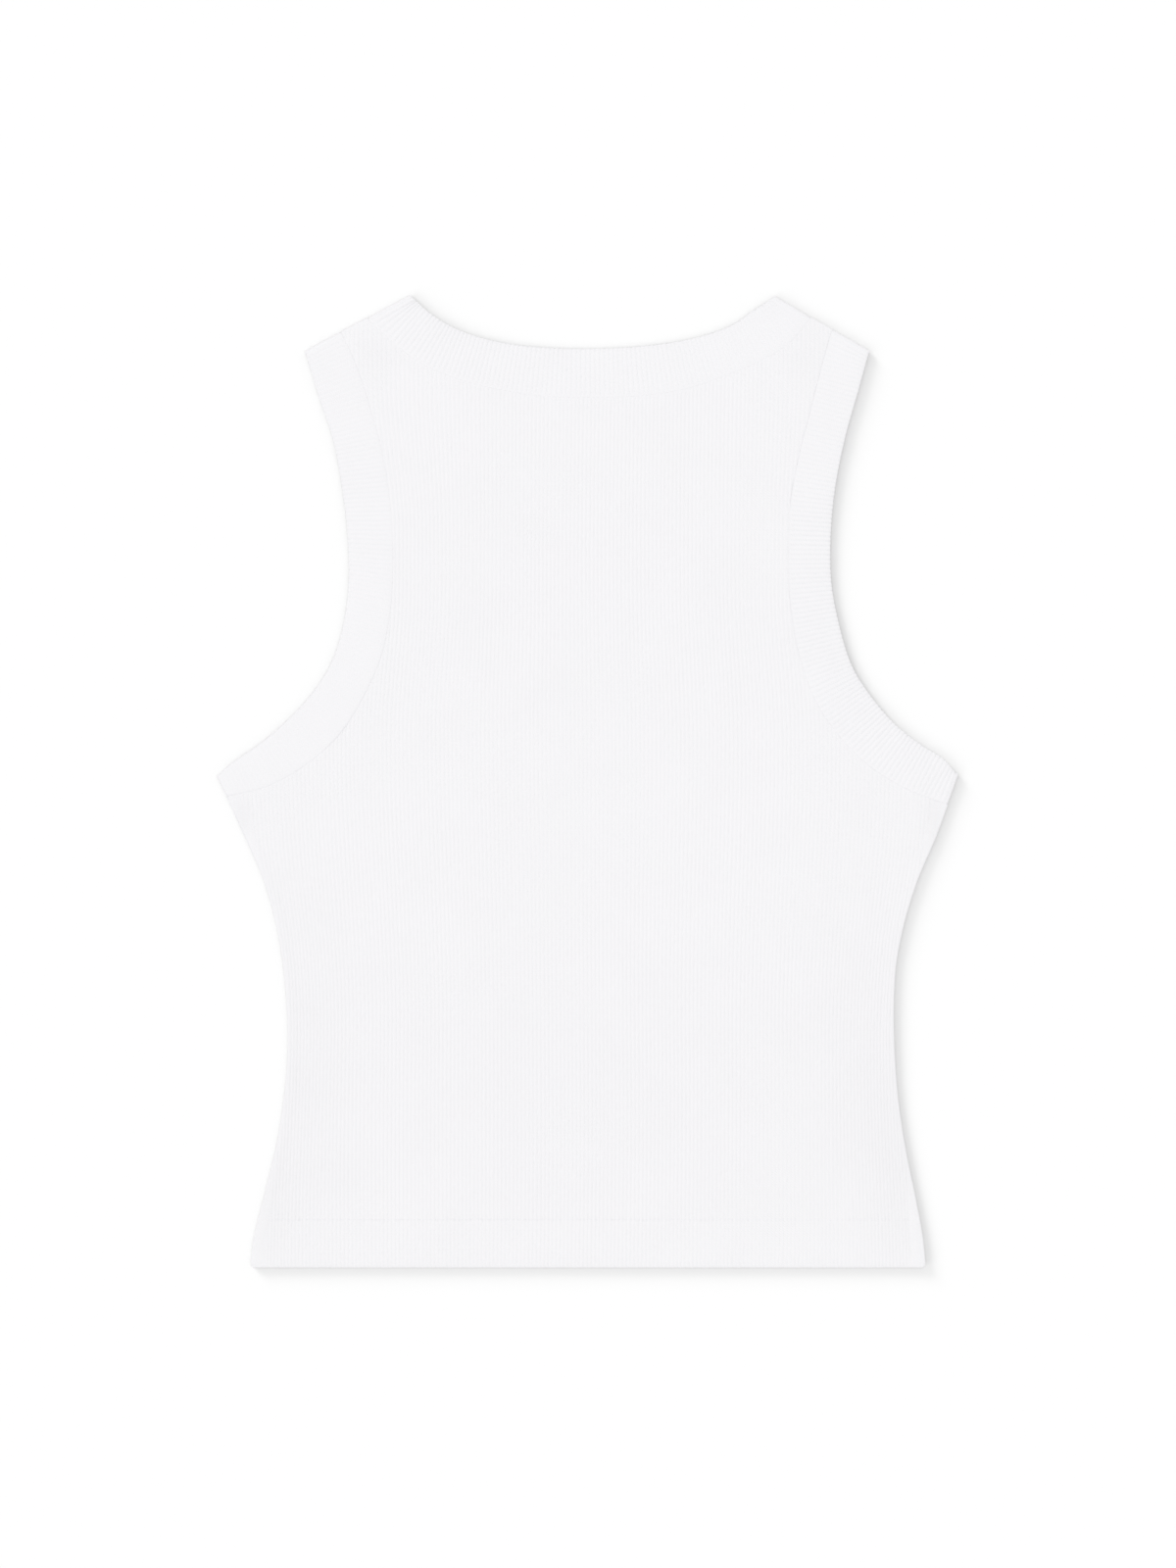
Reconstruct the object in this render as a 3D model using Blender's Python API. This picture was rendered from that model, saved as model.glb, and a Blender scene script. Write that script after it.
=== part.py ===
"""Rib-knit cropped tank top lying flat on its front, back panel up. Metres, +Z up, neck towards +Y.

Two body panels lie on each other, 0.3 mm apart at least. A neck band and two armhole bands, each one
closed loop of doubled rib, run along the back panel's edge, fold over at their ends and come back
along the front panel's edge underneath. The ribs are raised in the upper surfaces; every surface that
rests on the ground is flat.
"""
import math
from collections import namedtuple

import bmesh
import bpy
import numpy as np

MM = 0.001

# Cloth, in millimetres.
CLOTH = 1.4            # thickness of one panel over its ribs
BAND = 1.7             # thickness of a doubled rib band over its ribs
GAP = 0.3              # clearance between neighbouring pieces
RIB_DEPTH = 0.35       # how far the rib valleys lie under the ribs
BODY_RIB = 2.0         # pitch of the body's ribs
BAND_RIB = 2.4         # pitch of the bands' ribs
BACK_LEVEL = BAND + GAP  # underside of everything in the upper layer

# Garment sizes, in millimetres. Heights are above the hem edge, widths are from the centre line.
LENGTH = 496.5
HEM_DEPTH = 24.5       # from the hem edge up to the cover stitch
HEM_RISE = 0.3         # extra thickness of the turned-up hem
HEM_SLOPE = 1.2        # how far below the stitch the hem reaches its full thickness
HEM_CORNER = 2.5       # rounding of the hem's corners
BAND_EDGE = 1.0        # width of the rounded edge of a band
BAND_EDGE_DROP = 0.7   # how far the band's edge falls over that width
FRONT_SCOOP = 4.0      # how much deeper the front armhole is cut than the back one

OUTLINE_STEP = 5.0     # spacing of the points along the panels' edges
FOLD_STEPS = 6         # facets round a band's fold
FRONT_STEP = 8.0       # spacing of a band's sections under the garment
CURVE_SAMPLES = 400    # points tried along a curve when a rib is squared to its band
SQUARE_REACH = 0.12    # share of a band's length within which a squared rib's end is looked for
END_BLEND = 0.14       # share of its length over which a band's ribs turn parallel to its fold
SQUARENESS = {"neck": 1.0, "left": 0.5, "right": 1.0}  # how fully a band's ribs stand square to it

SideRow = namedtuple("SideRow", "height left right")
CurveRow = namedtuple("CurveRow", "left_x left_height right_x right_height")
NeckRow = namedtuple("NeckRow", "x height")

# Side seams, from the hem to the underarm.
SIDES = (
    SideRow(0.0, 172.1, 172.6),
    SideRow(15.0, 170.3, 171.1),
    SideRow(35.0, 165.4, 167.5),
    SideRow(60.0, 159.3, 162.4),
    SideRow(87.0, 154.8, 158.4),
    SideRow(110.0, 153.1, 156.7),
    SideRow(135.0, 153.6, 156.3),
    SideRow(155.0, 155.5, 157.5),
    SideRow(175.0, 158.9, 161.4),
    SideRow(198.0, 165.4, 168.5),
    SideRow(221.0, 175.4, 178.3),
)

# Free edges of the armholes, from the shoulder to the underarm.
ARM_EDGE = (
    CurveRow(-144.5, 467.5, 144.2, 467.8),
    CurveRow(-138.0, 447.0, 138.0, 447.0),
    CurveRow(-130.3, 423.8, 131.5, 423.8),
    CurveRow(-125.3, 398.0, 126.4, 398.0),
    CurveRow(-122.4, 372.0, 124.0, 372.0),
    CurveRow(-122.0, 348.0, 124.6, 348.0),
    CurveRow(-124.6, 328.0, 128.4, 328.0),
    CurveRow(-131.5, 306.8, 135.4, 306.0),
    CurveRow(-143.0, 289.8, 146.5, 289.0),
    CurveRow(-156.2, 276.3, 157.7, 276.5),
    CurveRow(-170.8, 264.5, 171.0, 266.2),
    CurveRow(-182.7, 256.4, 182.6, 258.6),
    CurveRow(-189.4, 250.8, 189.4, 252.0),
)

# Seams between the armhole bands and the body, from the shoulder to the underarm.
ARM_SEAM = (
    CurveRow(-125.8, 477.5, 125.2, 478.6),
    CurveRow(-118.2, 461.0, 119.6, 460.5),
    CurveRow(-110.9, 439.0, 114.2, 439.0),
    CurveRow(-104.7, 416.0, 108.3, 416.0),
    CurveRow(-100.7, 391.0, 103.6, 391.0),
    CurveRow(-99.3, 362.0, 102.4, 362.0),
    CurveRow(-100.7, 335.0, 103.9, 335.0),
    CurveRow(-105.6, 311.0, 108.4, 311.0),
    CurveRow(-114.5, 291.0, 115.4, 291.0),
    CurveRow(-127.6, 271.0, 128.4, 271.0),
    CurveRow(-145.5, 255.2, 145.8, 254.2),
    CurveRow(-164.5, 245.2, 165.0, 243.1),
    CurveRow(-184.0, 240.0, 183.8, 236.2),
)

# Free edge and seam of the neck band on the back, from the left shoulder to the right one.
NECK_EDGE = (
    NeckRow(-90.0, 496.5),
    NeckRow(-81.8, 488.2),
    NeckRow(-73.8, 482.6),
    NeckRow(-64.3, 477.9),
    NeckRow(-52.3, 473.9),
    NeckRow(-38.0, 471.1),
    NeckRow(-18.8, 469.3),
    NeckRow(3.2, 468.9),
    NeckRow(28.0, 470.2),
    NeckRow(50.2, 473.3),
    NeckRow(66.0, 477.6),
    NeckRow(75.2, 481.6),
    NeckRow(83.5, 487.5),
    NeckRow(95.2, 496.0),
)
NECK_SEAM = (
    NeckRow(-112.3, 484.6),
    NeckRow(-100.8, 473.2),
    NeckRow(-84.0, 460.6),
    NeckRow(-65.8, 453.2),
    NeckRow(-45.0, 447.8),
    NeckRow(-24.0, 444.6),
    NeckRow(3.2, 443.9),
    NeckRow(28.0, 444.7),
    NeckRow(50.0, 448.2),
    NeckRow(70.7, 455.1),
    NeckRow(87.0, 462.0),
    NeckRow(104.2, 472.8),
    NeckRow(113.9, 485.1),
)

# The same two curves on the front, which hangs lower. Their ends are those of the back.
FRONT_NECK_EDGE = (
    NeckRow(-81.5, 471.0),
    NeckRow(-70.0, 449.0),
    NeckRow(-52.0, 432.5),
    NeckRow(-28.0, 423.0),
    NeckRow(0.0, 420.0),
    NeckRow(29.0, 423.0),
    NeckRow(54.0, 432.5),
    NeckRow(73.0, 449.0),
    NeckRow(86.0, 471.0),
)
FRONT_NECK_SEAM = (
    NeckRow(-105.0, 463.0),
    NeckRow(-92.0, 437.0),
    NeckRow(-67.0, 412.0),
    NeckRow(-35.0, 399.5),
    NeckRow(0.0, 396.0),
    NeckRow(36.0, 399.5),
    NeckRow(69.0, 412.0),
    NeckRow(94.5, 437.0),
    NeckRow(108.0, 463.0),
)

COTTON_WHITE = (0.87, 0.87, 0.885, 1.0)
BAND_WHITE = (0.89, 0.89, 0.90, 1.0)


def clear_scene():
    """Remove every object of the open scene."""
    for old in list(bpy.data.objects):
        bpy.data.objects.remove(old, do_unlink=True)


def cotton(name, colour):
    """Soft matt knitted cotton."""
    material = bpy.data.materials.new(name)
    material.use_nodes = True
    shader = material.node_tree.nodes["Principled BSDF"]
    shader.inputs["Base Color"].default_value = colour
    shader.inputs["Roughness"].default_value = 0.9
    shader.inputs["Metallic"].default_value = 0.0
    return material


def smooth_curve(points, steps=16):
    """A smooth curve through the points: a cubic in each span, with chord-length spacing."""
    points = np.asarray(points, dtype=float)
    chord = np.linalg.norm(np.diff(points, axis=0), axis=1)
    slope = np.diff(points, axis=0) / chord[:, None]
    tangent = np.empty_like(points)
    tangent[0] = slope[0]
    tangent[-1] = slope[-1]
    before = chord[:-1, None]
    after = chord[1:, None]
    tangent[1:-1] = (slope[:-1] * after + slope[1:] * before) / (before + after)
    t = (np.arange(steps) / steps)[None, :, None]
    start = points[:-1, None]
    end = points[1:, None]
    span = chord[:, None, None]
    curve = ((2 * t**3 - 3 * t**2 + 1) * start + (t**3 - 2 * t**2 + t) * span * tangent[:-1, None]
             + (3 * t**2 - 2 * t**3) * end + (t**3 - t**2) * span * tangent[1:, None])
    return np.vstack([curve.reshape(-1, 2), points[-1:]])


def along(curve, fractions):
    """Points of a curve at fractions of its length."""
    steps = np.linalg.norm(np.diff(curve, axis=0), axis=1)
    reach = np.concatenate([[0.0], np.cumsum(steps)])
    at = np.asarray(fractions) * reach[-1]
    return np.column_stack([np.interp(at, reach, curve[:, axis]) for axis in (0, 1)])


def curve_length(curve):
    """Length of a curve."""
    return float(np.linalg.norm(np.diff(curve, axis=0), axis=1).sum())


def squared_end(curve, share, centre, heading):
    """The share of a curve at which a line through the centre, square to the heading, meets it."""
    fine = np.linspace(0.0, 1.0, CURVE_SAMPLES)
    near = np.abs(fine - share) <= SQUARE_REACH
    ahead = (along(curve, fine[near]) - centre) @ heading
    return float(np.interp(0.0, ahead, fine[near]))


def rib_lines(seam, edge, count, squareness):
    """Where a band's ribs start at its seam and end at its free edge.

    The ribs are evenly spaced and stand square to the middle of the band, or only partly so where
    the band has crept along its seam. Near its ends they turn parallel to the folds.
    """
    shares = np.linspace(0.0, 1.0, count)
    middle = (along(seam, shares) + along(edge, shares)) / 2
    heading = np.gradient(middle, axis=0)
    heading /= np.linalg.norm(heading, axis=1)[:, None]
    ramp = np.clip(np.minimum(shares, 1.0 - shares) / END_BLEND, 0.0, 1.0)
    blend = squareness * ramp * ramp * (3.0 - 2.0 * ramp)
    ends = []
    for curve in (seam, edge):
        squared = [squared_end(curve, *station) for station in zip(shares, middle, heading)]
        ends.append(along(curve, shares + (np.array(squared) - shares) * blend))
    return ends


def evenly(curve, step):
    """The curve's points about one step apart, both ends included."""
    count = max(2, math.ceil(curve_length(curve) / step) + 1)
    return along(curve, np.linspace(0.0, 1.0, count))


class Fold:
    """Where a band turns over: a straight line, from the seam to the free edge, on the outline."""

    radius = (BACK_LEVEL + BAND) / 2 - BAND / 2
    axis_level = (BACK_LEVEL + BAND) / 2

    def __init__(self, seam, edge, outward):
        seam = np.asarray(seam, dtype=float)
        edge = np.asarray(edge, dtype=float)
        line = (edge - seam) / np.linalg.norm(edge - seam)
        across = np.array([-line[1], line[0]])
        self.outward = across * math.copysign(1.0, float(across @ np.asarray(outward)))
        inset = (self.radius + BAND / 2) * self.outward
        self.seam_tip = seam
        self.seam = seam - inset
        self.edge = edge - inset


def neck_folds():
    """The neck band's folds, at the left and the right shoulder."""
    left = Fold(NECK_SEAM[0], NECK_EDGE[0], (-0.5, 1.0))
    right = Fold(NECK_SEAM[-1], NECK_EDGE[-1], (0.5, 1.0))
    return left, right


def arm_points(rows, side):
    """One side's points of a table of armhole rows."""
    if side == "left":
        return [(row.left_x, row.left_height) for row in rows]
    return [(row.right_x, row.right_height) for row in rows]


def arm_folds(side):
    """An armhole band's folds, at the shoulder and at the underarm."""
    seam = arm_points(ARM_SEAM, side)
    edge = arm_points(ARM_EDGE, side)
    out = -1.0 if side == "left" else 1.0
    shoulder = Fold(seam[0], edge[0], (0.5 * out, 1.0))
    underarm = Fold(seam[-1], edge[-1], (out, -0.5))
    return shoulder, underarm


def between_folds(points, start, end):
    """A smooth curve from one fold to another through the points between them."""
    return smooth_curve([start, *points, end])


def neck_curves(layer):
    """Seam and free edge of the neckline, left to right, on the back or the front."""
    left, right = neck_folds()
    if layer == "back":
        seam = NECK_SEAM[1:-1]
        edge = NECK_EDGE[1:-1]
    else:
        seam = FRONT_NECK_SEAM
        edge = FRONT_NECK_EDGE
    return between_folds(seam, left.seam, right.seam), between_folds(edge, left.edge, right.edge)


def arm_curves(side, layer):
    """Seam and free edge of an armhole, shoulder to underarm, on the back or the front."""
    shoulder, underarm = arm_folds(side)
    inward = 1.0 if side == "left" else -1.0
    curves = []
    for rows, start, end in ((ARM_SEAM, shoulder.seam, underarm.seam),
                             (ARM_EDGE, shoulder.edge, underarm.edge)):
        curve = between_folds(arm_points(rows, side)[1:-1], start, end)
        if layer == "front":
            share = np.linspace(0.0, 1.0, len(curve))
            curve[:, 0] += inward * FRONT_SCOOP * np.sin(math.pi * share)**2
        curves.append(curve)
    return curves


def side_curve(side):
    """A side seam, from the underarm down to the rounded hem corner."""
    out = -1.0 if side == "left" else 1.0
    underarm = arm_folds(side)[1]
    rows = [(out * getattr(row, side), row.height) for row in reversed(SIDES)]
    curve = smooth_curve([underarm.seam_tip, *rows])
    keep = curve[curve[:, 1] > HEM_CORNER]
    corner = rows[-1][0]
    turn = np.radians((15.0, 45.0, 75.0))
    centre = np.array([corner - out * HEM_CORNER, HEM_CORNER])
    rounding = centre + HEM_CORNER * np.column_stack([out * np.cos(turn), -np.sin(turn)])
    last = centre + HEM_CORNER * np.array([0.0, -1.0])
    return np.vstack([evenly(keep, OUTLINE_STEP), rounding, last])


def panel_outline(layer):
    """The closed outline of a panel, anticlockwise from the left shoulder down."""
    neck_left, neck_right = neck_folds()
    neck = evenly(neck_curves(layer)[0], OUTLINE_STEP)
    parts = []
    for side in ("left", "right"):
        shoulder = arm_folds(side)[0]
        seam = evenly(arm_curves(side, layer)[0], OUTLINE_STEP)
        down = np.vstack([shoulder.seam_tip, seam, side_curve(side)])
        parts.append(down if side == "left" else down[::-1])
    return np.vstack([parts[0], parts[1], neck_right.seam_tip, neck[::-1], neck_left.seam_tip])


def rib_height(x):
    """How far the cloth falls below its ribs' tops: straight slopes from rib to valley."""
    phase = np.abs((x / BODY_RIB) % 1.0 - 0.5) * 2.0
    return RIB_DEPTH * (1.0 - phase)


def hem_height(height):
    """How much thicker the turned-up hem is, at a height above the hem's edge."""
    share = min(max((HEM_DEPTH - height) / HEM_SLOPE, 0.0), 1.0)
    return HEM_RISE * share


def place(x, height, z):
    """A point of the garment in the part's own frame, in metres."""
    return x * MM, (height - LENGTH / 2) * MM, z * MM


def finish_object(name, bm, material):
    """Turn a bmesh into a named object with its material."""
    mesh = bpy.data.meshes.new(name)
    bmesh.ops.recalc_face_normals(bm, faces=bm.faces)
    bm.to_mesh(mesh)
    bm.free()
    mesh.materials.append(material)
    mesh.shade_smooth()
    mesh.set_sharp_from_angle(angle=math.radians(35.0))
    piece = bpy.data.objects.new(name, mesh)
    bpy.context.scene.collection.objects.link(piece)
    return piece


def cut_across(bm, faces, point, normal):
    """Cut the faces by a plane and return every face that they became."""
    geometry = set(faces)
    for face in faces:
        geometry.update(face.edges)
        geometry.update(face.verts)
    cut = bmesh.ops.bisect_plane(bm, geom=list(geometry), dist=1e-7, plane_co=point, plane_no=normal)
    return [item for item in cut["geom"] if isinstance(item, bmesh.types.BMFace)]


def make_panel(name, layer, level, ribbed, material):
    """A body panel: its outline raised to a slab, cut along hem and ribs, its top then shaped."""
    outline = panel_outline(layer)
    bm = bmesh.new()
    base = bm.faces.new([bm.verts.new(place(x, height, level)) for x, height in outline])
    raised = bmesh.ops.extrude_face_region(bm, geom=[base], use_keep_orig=True)["geom"]
    top = [item for item in raised if isinstance(item, bmesh.types.BMFace)]
    for vertex in top[0].verts:
        vertex.co.z = (level + CLOTH) * MM
    for height in (HEM_DEPTH, HEM_DEPTH - HEM_SLOPE):
        top = cut_across(bm, top, place(0.0, height, 0.0), (0.0, 1.0, 0.0))
    if ribbed:
        reach = math.floor(outline[:, 0].max() / (BODY_RIB / 2))
        finished = []
        for index in range(-reach, reach + 1):
            x = index * BODY_RIB / 2
            top = cut_across(bm, top, place(x, 0.0, 0.0), (1.0, 0.0, 0.0))
            left = [face for face in top if face.calc_center_median().x < x * MM]
            finished.extend(left)
            passed = set(left)
            top = [face for face in top if face not in passed]
        top = finished + top
    for vertex in {vertex for face in top for vertex in face.verts}:
        x = vertex.co.x / MM
        height = vertex.co.y / MM + LENGTH / 2
        fall = rib_height(x) if ribbed else 0.0
        vertex.co.z = (level + CLOTH - fall + hem_height(height)) * MM
    return finish_object(name, bm, material)


def band_section(width, ribbed, valley):
    """A band's section: distance from the seam, and distance from the middle of its thickness."""
    crown = BAND / 2 - (RIB_DEPTH if ribbed and valley else 0.0)
    side = BAND / 2 - BAND_EDGE_DROP
    return (
        (GAP, -BAND / 2),
        (GAP, side),
        (GAP + BAND_EDGE, crown),
        (width - BAND_EDGE, crown),
        (width, side),
        (width, -BAND / 2),
    )


def add_section(bm, seam, edge, level, normal, section):
    """Put one section of a band between its seam point and its free edge; return its vertices."""
    width = np.linalg.norm(edge - seam)
    ring = []
    for reach, lift in section(width):
        flat = seam + (edge - seam) * reach / width + normal[:2] * lift
        ring.append(bm.verts.new(place(flat[0], flat[1], level + normal[2] * lift)))
    return ring


def add_fold(bm, fold, upwards):
    """The sections round a fold, from the upper layer down, or back up."""
    rings = []
    for step in range(1, FOLD_STEPS):
        turn = math.pi * step / FOLD_STEPS
        if upwards:
            turn = math.pi - turn
        normal = np.array([*(fold.outward * math.sin(turn)), math.cos(turn)])
        shift = fold.outward * fold.radius * math.sin(turn)
        level = fold.axis_level + fold.radius * math.cos(turn)
        rings.append(add_section(bm, fold.seam + shift, fold.edge + shift, level, normal,
                                 lambda width: band_section(width, ribbed=False, valley=False)))
    return rings


def add_layer(bm, seam, edge, count, squareness, upper):
    """The sections along one layer of a band, each across the band between its two edges."""
    normal = np.array([0.0, 0.0, 1.0 if upper else -1.0])
    level = BACK_LEVEL + BAND / 2 if upper else BAND / 2
    rings = []
    for index, (start, end) in enumerate(zip(*rib_lines(seam, edge, count, squareness))):
        valley = index % 2 == 0
        rings.append(add_section(bm, start, end, level, normal,
                                 lambda width: band_section(width, ribbed=upper, valley=valley)))
    return rings


def make_band(name, folds, back, front, squareness, material):
    """A closed band: along the back, over one fold, along the front, over the other fold."""
    bm = bmesh.new()
    middle = (curve_length(back[0]) + curve_length(back[1])) / 2
    ribs = round(middle / BAND_RIB)
    under = math.ceil(curve_length(front[0]) / FRONT_STEP) + 1
    rings = add_layer(bm, *back, 2 * ribs + 1, squareness, upper=True)
    rings += add_fold(bm, folds[1], upwards=False)
    rings += add_layer(bm, front[0][::-1], front[1][::-1], under, squareness, upper=False)
    rings += add_fold(bm, folds[0], upwards=True)
    for ring, following in zip(rings, rings[1:] + rings[:1]):
        for index, corner in enumerate(ring):
            previous = index - 1
            bm.faces.new((ring[previous], corner, following[index], following[previous]))
    return finish_object(name, bm, material)


def main():
    """Build the five pieces."""
    clear_scene()
    body = cotton("body rib", COTTON_WHITE)
    trim = cotton("band rib", BAND_WHITE)
    make_panel("front_panel", "front", 0.0, ribbed=False, material=body)
    make_panel("back_panel", "back", BACK_LEVEL, ribbed=True, material=body)
    make_band("neck_band", neck_folds(), neck_curves("back"), neck_curves("front"),
              SQUARENESS["neck"], trim)
    for side in ("left", "right"):
        make_band(f"armhole_band_{side}", arm_folds(side), arm_curves(side, "back"),
                  arm_curves(side, "front"), SQUARENESS[side], trim)


main()
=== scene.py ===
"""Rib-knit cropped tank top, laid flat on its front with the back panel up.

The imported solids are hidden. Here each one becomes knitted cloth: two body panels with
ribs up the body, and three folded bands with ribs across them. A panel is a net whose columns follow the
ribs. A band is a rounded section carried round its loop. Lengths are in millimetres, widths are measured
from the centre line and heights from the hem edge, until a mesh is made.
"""

import logging
import math
from collections.abc import Callable, Sequence
from dataclasses import dataclass
from enum import Enum
from typing import NamedTuple

import bmesh
import bpy
import numpy as np
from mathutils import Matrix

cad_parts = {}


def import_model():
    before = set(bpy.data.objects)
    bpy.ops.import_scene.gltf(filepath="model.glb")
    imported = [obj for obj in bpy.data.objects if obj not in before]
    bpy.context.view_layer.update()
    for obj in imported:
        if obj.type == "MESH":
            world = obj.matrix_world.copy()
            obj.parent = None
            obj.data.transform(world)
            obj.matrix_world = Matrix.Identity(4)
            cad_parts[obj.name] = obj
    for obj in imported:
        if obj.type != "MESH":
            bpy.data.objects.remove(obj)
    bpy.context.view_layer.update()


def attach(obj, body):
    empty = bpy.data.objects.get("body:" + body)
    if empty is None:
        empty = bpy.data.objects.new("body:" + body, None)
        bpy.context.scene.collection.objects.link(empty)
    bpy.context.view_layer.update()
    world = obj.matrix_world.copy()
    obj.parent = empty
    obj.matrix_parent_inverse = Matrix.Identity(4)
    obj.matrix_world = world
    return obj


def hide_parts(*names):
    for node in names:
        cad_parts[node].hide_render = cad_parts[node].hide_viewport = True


LOG = logging.getLogger("tank_top")
MM = 0.001
BODY = "root"
# the mesh attribute that holds painted shade: how much the cloth's colour is darkened where shade falls
SHADE_ATTRIBUTE = "painted_shade"
NO_LENGTH = 1e-12    # a span whose squared length is less counts as a point
NO_SLOPE = 1e-6      # a measure that changes less is taken as steady

Array = np.ndarray
Pair = tuple[float, float]    # a width and a height, two ends of a span, or a value for each side
Pairs = tuple[Pair, ...]      # width and height, or place and value, of each point


class Side(Enum):
    """A side of the garment as it lies, and its sign on the width axis."""

    LEFT = -1.0
    RIGHT = 1.0


class Layer(Enum):
    """Which of the two stacked layers a piece belongs to."""

    BACK = "back"    # the upper layer, outside facing up
    FRONT = "front"  # the lower layer, outside facing down


class SideRow(NamedTuple):
    """Half-widths of the garment at one height."""

    height: float
    left: float
    right: float


class CurveRow(NamedTuple):
    """One point of an armhole curve on each side."""

    left_x: float
    left_height: float
    right_x: float
    right_height: float


# ---------------------------------------------------------------------------------------------------
# Curves and nets
# ---------------------------------------------------------------------------------------------------

def smoothstep(t: Array) -> Array:
    """Zero below 0, one above 1, and three t squared less two t cubed between."""
    t = np.clip(t, 0.0, 1.0)
    return t * t * (3.0 - 2.0 * t)


def rise(value: Array, span: Pair) -> Array:
    """A smooth step from 0 to 1 over a span of values."""
    return smoothstep((value - span[0]) / (span[1] - span[0]))


def smooth_curve(points: Array, steps: int = 16) -> Array:
    """A smooth curve through points: in each span, the cubic that keeps the chord-weighted slopes.

    Args:
        points: The points, one a row.
        steps: How many points of the curve a span gets.

    Returns:
        The curve's points, one a row.
    """
    points = np.asarray(points, dtype=float)
    chord = np.linalg.norm(np.diff(points, axis=0), axis=1)
    slope = np.diff(points, axis=0) / chord[:, None]
    before = chord[:-1, None]
    after = chord[1:, None]
    middle = (slope[:-1] * after + slope[1:] * before) / (before + after)
    tangent = np.vstack([slope[:1], middle, slope[-1:]])
    t = (np.arange(steps) / steps)[None, :, None]
    span = chord[:, None, None]
    curve = ((2 * t**3 - 3 * t**2 + 1) * points[:-1, None] + (t**3 - 2 * t**2 + t) * span * tangent[:-1, None]
             + (3 * t**2 - 2 * t**3) * points[1:, None] + (t**3 - t**2) * span * tangent[1:, None])
    return np.vstack([curve.reshape(-1, 2), points[-1:]])


def along(curve: Array, shares: Array) -> Array:
    """Points of a curve at shares of its length.

    Args:
        curve: The curve's points, one a row.
        shares: Shares from 0 to 1.

    Returns:
        One point a share.
    """
    steps = np.linalg.norm(np.diff(curve, axis=0), axis=1)
    reach = np.concatenate([[0.0], np.cumsum(steps)])
    return np.column_stack([np.interp(shares * reach[-1], reach, curve[:, axis]) for axis in (0, 1)])


def curve_length(curve: Array) -> float:
    """Length of a curve."""
    return float(np.linalg.norm(np.diff(curve, axis=0), axis=1).sum())


def distance_to(points: Array, curve: Array, chunk: int = 4000) -> Array:
    """Distance from each point to a curve: the least of the distances to its straight spans.

    Args:
        points: The points, one a row.
        curve: The curve's points, one a row.
        chunk: How many points are worked on at once, to save memory.

    Returns:
        One distance a point.
    """
    start = curve[:-1]
    span = np.diff(curve, axis=0)
    square = np.maximum((span * span).sum(axis=1), NO_LENGTH)
    found = []
    for part in np.array_split(points, max(1, len(points) // chunk)):
        offset = part[:, None] - start[None]
        share = np.clip((offset * span).sum(axis=2) / square, 0.0, 1.0)
        found.append(np.linalg.norm(offset - share[:, :, None] * span, axis=2).min(axis=1))
    return np.concatenate(found)


def net_faces(rows: Array, columns: Array, width: int) -> Array:
    """Corner indices of the cells between chosen rows and columns of a net numbered row by row.

    Args:
        rows: Indices of the rows to join.
        columns: Indices of the columns to join.
        width: How many points a row of the whole net has.

    Returns:
        Four corners a cell.
    """
    first = rows[:-1, None] * width + columns[None, :-1]
    across = np.broadcast_to(columns[1:] - columns[:-1], first.shape)
    up = np.broadcast_to((rows[1:] - rows[:-1])[:, None] * width, first.shape)
    return np.stack([first, first + across, first + across + up, first + up], axis=2).reshape(-1, 4)


def ring_faces(rings: int, corners: int) -> Array:
    """Corner indices of a closed chain of closed rings, each joined to the next and the last to the first.

    Args:
        rings: How many rings there are.
        corners: How many points each has.

    Returns:
        Four corners a cell.
    """
    ring = np.arange(rings)[:, None] * corners
    following = np.roll(ring, -1, axis=0)
    corner = np.arange(corners)
    after = np.roll(corner, -1)
    return np.stack([ring + corner, following + corner, following + after, ring + after],
                    axis=2).reshape(-1, 4)


def weld(plan: Array, faces: Array, grain: float = 1e-4) -> tuple[Array, list[list[int]]]:
    """Join points at the same place, and drop unused points and faces that then have no area.

    Args:
        plan: Width and height of each point of a net.
        faces: Corner indices of its four-cornered cells.
        grain: Two points closer than this are one.

    Returns:
        The indices of the points that are kept, and the faces in terms of those.
    """
    _, first, joined = np.unique(np.round(plan / grain).astype(np.int64), axis=0, return_index=True,
                                 return_inverse=True)
    cells = joined.reshape(-1)[faces]
    same = cells == np.roll(cells, -1, axis=1)
    crossed = (cells[:, 0] == cells[:, 2]) | (cells[:, 1] == cells[:, 3])
    whole = cells[(same.sum(axis=1) == 0) & ~crossed]
    single = (same.sum(axis=1) == 1) & ~crossed
    corner_order = (np.argmax(same[single], axis=1)[:, None] + np.arange(1, 4)) % 4
    thin = np.take_along_axis(cells[single], corner_order, axis=1)
    used, corners = np.unique(np.concatenate([whole.ravel(), thin.ravel()]), return_inverse=True)
    corners = corners.reshape(-1)
    split = whole.size
    return first[used], corners[:split].reshape(-1, 4).tolist() + corners[split:].reshape(-1, 3).tolist()


def to_metres(width: Array, height: Array, level: Array, length: float) -> Array:
    """Points in the frame, in metres, from widths, heights above the hem and levels, in millimetres."""
    return np.column_stack([np.ravel(width), np.ravel(height) - length / 2, np.ravel(level)]) * MM


def shell_mesh(name: str, points: Array, faces: list[list[int]],
               shape: Callable[[bmesh.types.BMesh], None] | None = None) -> bpy.types.Mesh:
    """Make a mesh whose faces point outwards.

    Args:
        name: The piece's name.
        points: Its points in metres, one a row.
        faces: Corner indices of its faces.
        shape: What completes it before its faces are turned.

    Returns:
        The mesh.
    """
    mesh = bpy.data.meshes.new(name)
    mesh.from_pydata(points.tolist(), [], faces)
    bm = bmesh.new()
    bm.from_mesh(mesh)
    if shape:
        shape(bm)
    bmesh.ops.recalc_face_normals(bm, faces=bm.faces)
    bm.to_mesh(mesh)
    bm.free()
    return mesh


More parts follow.
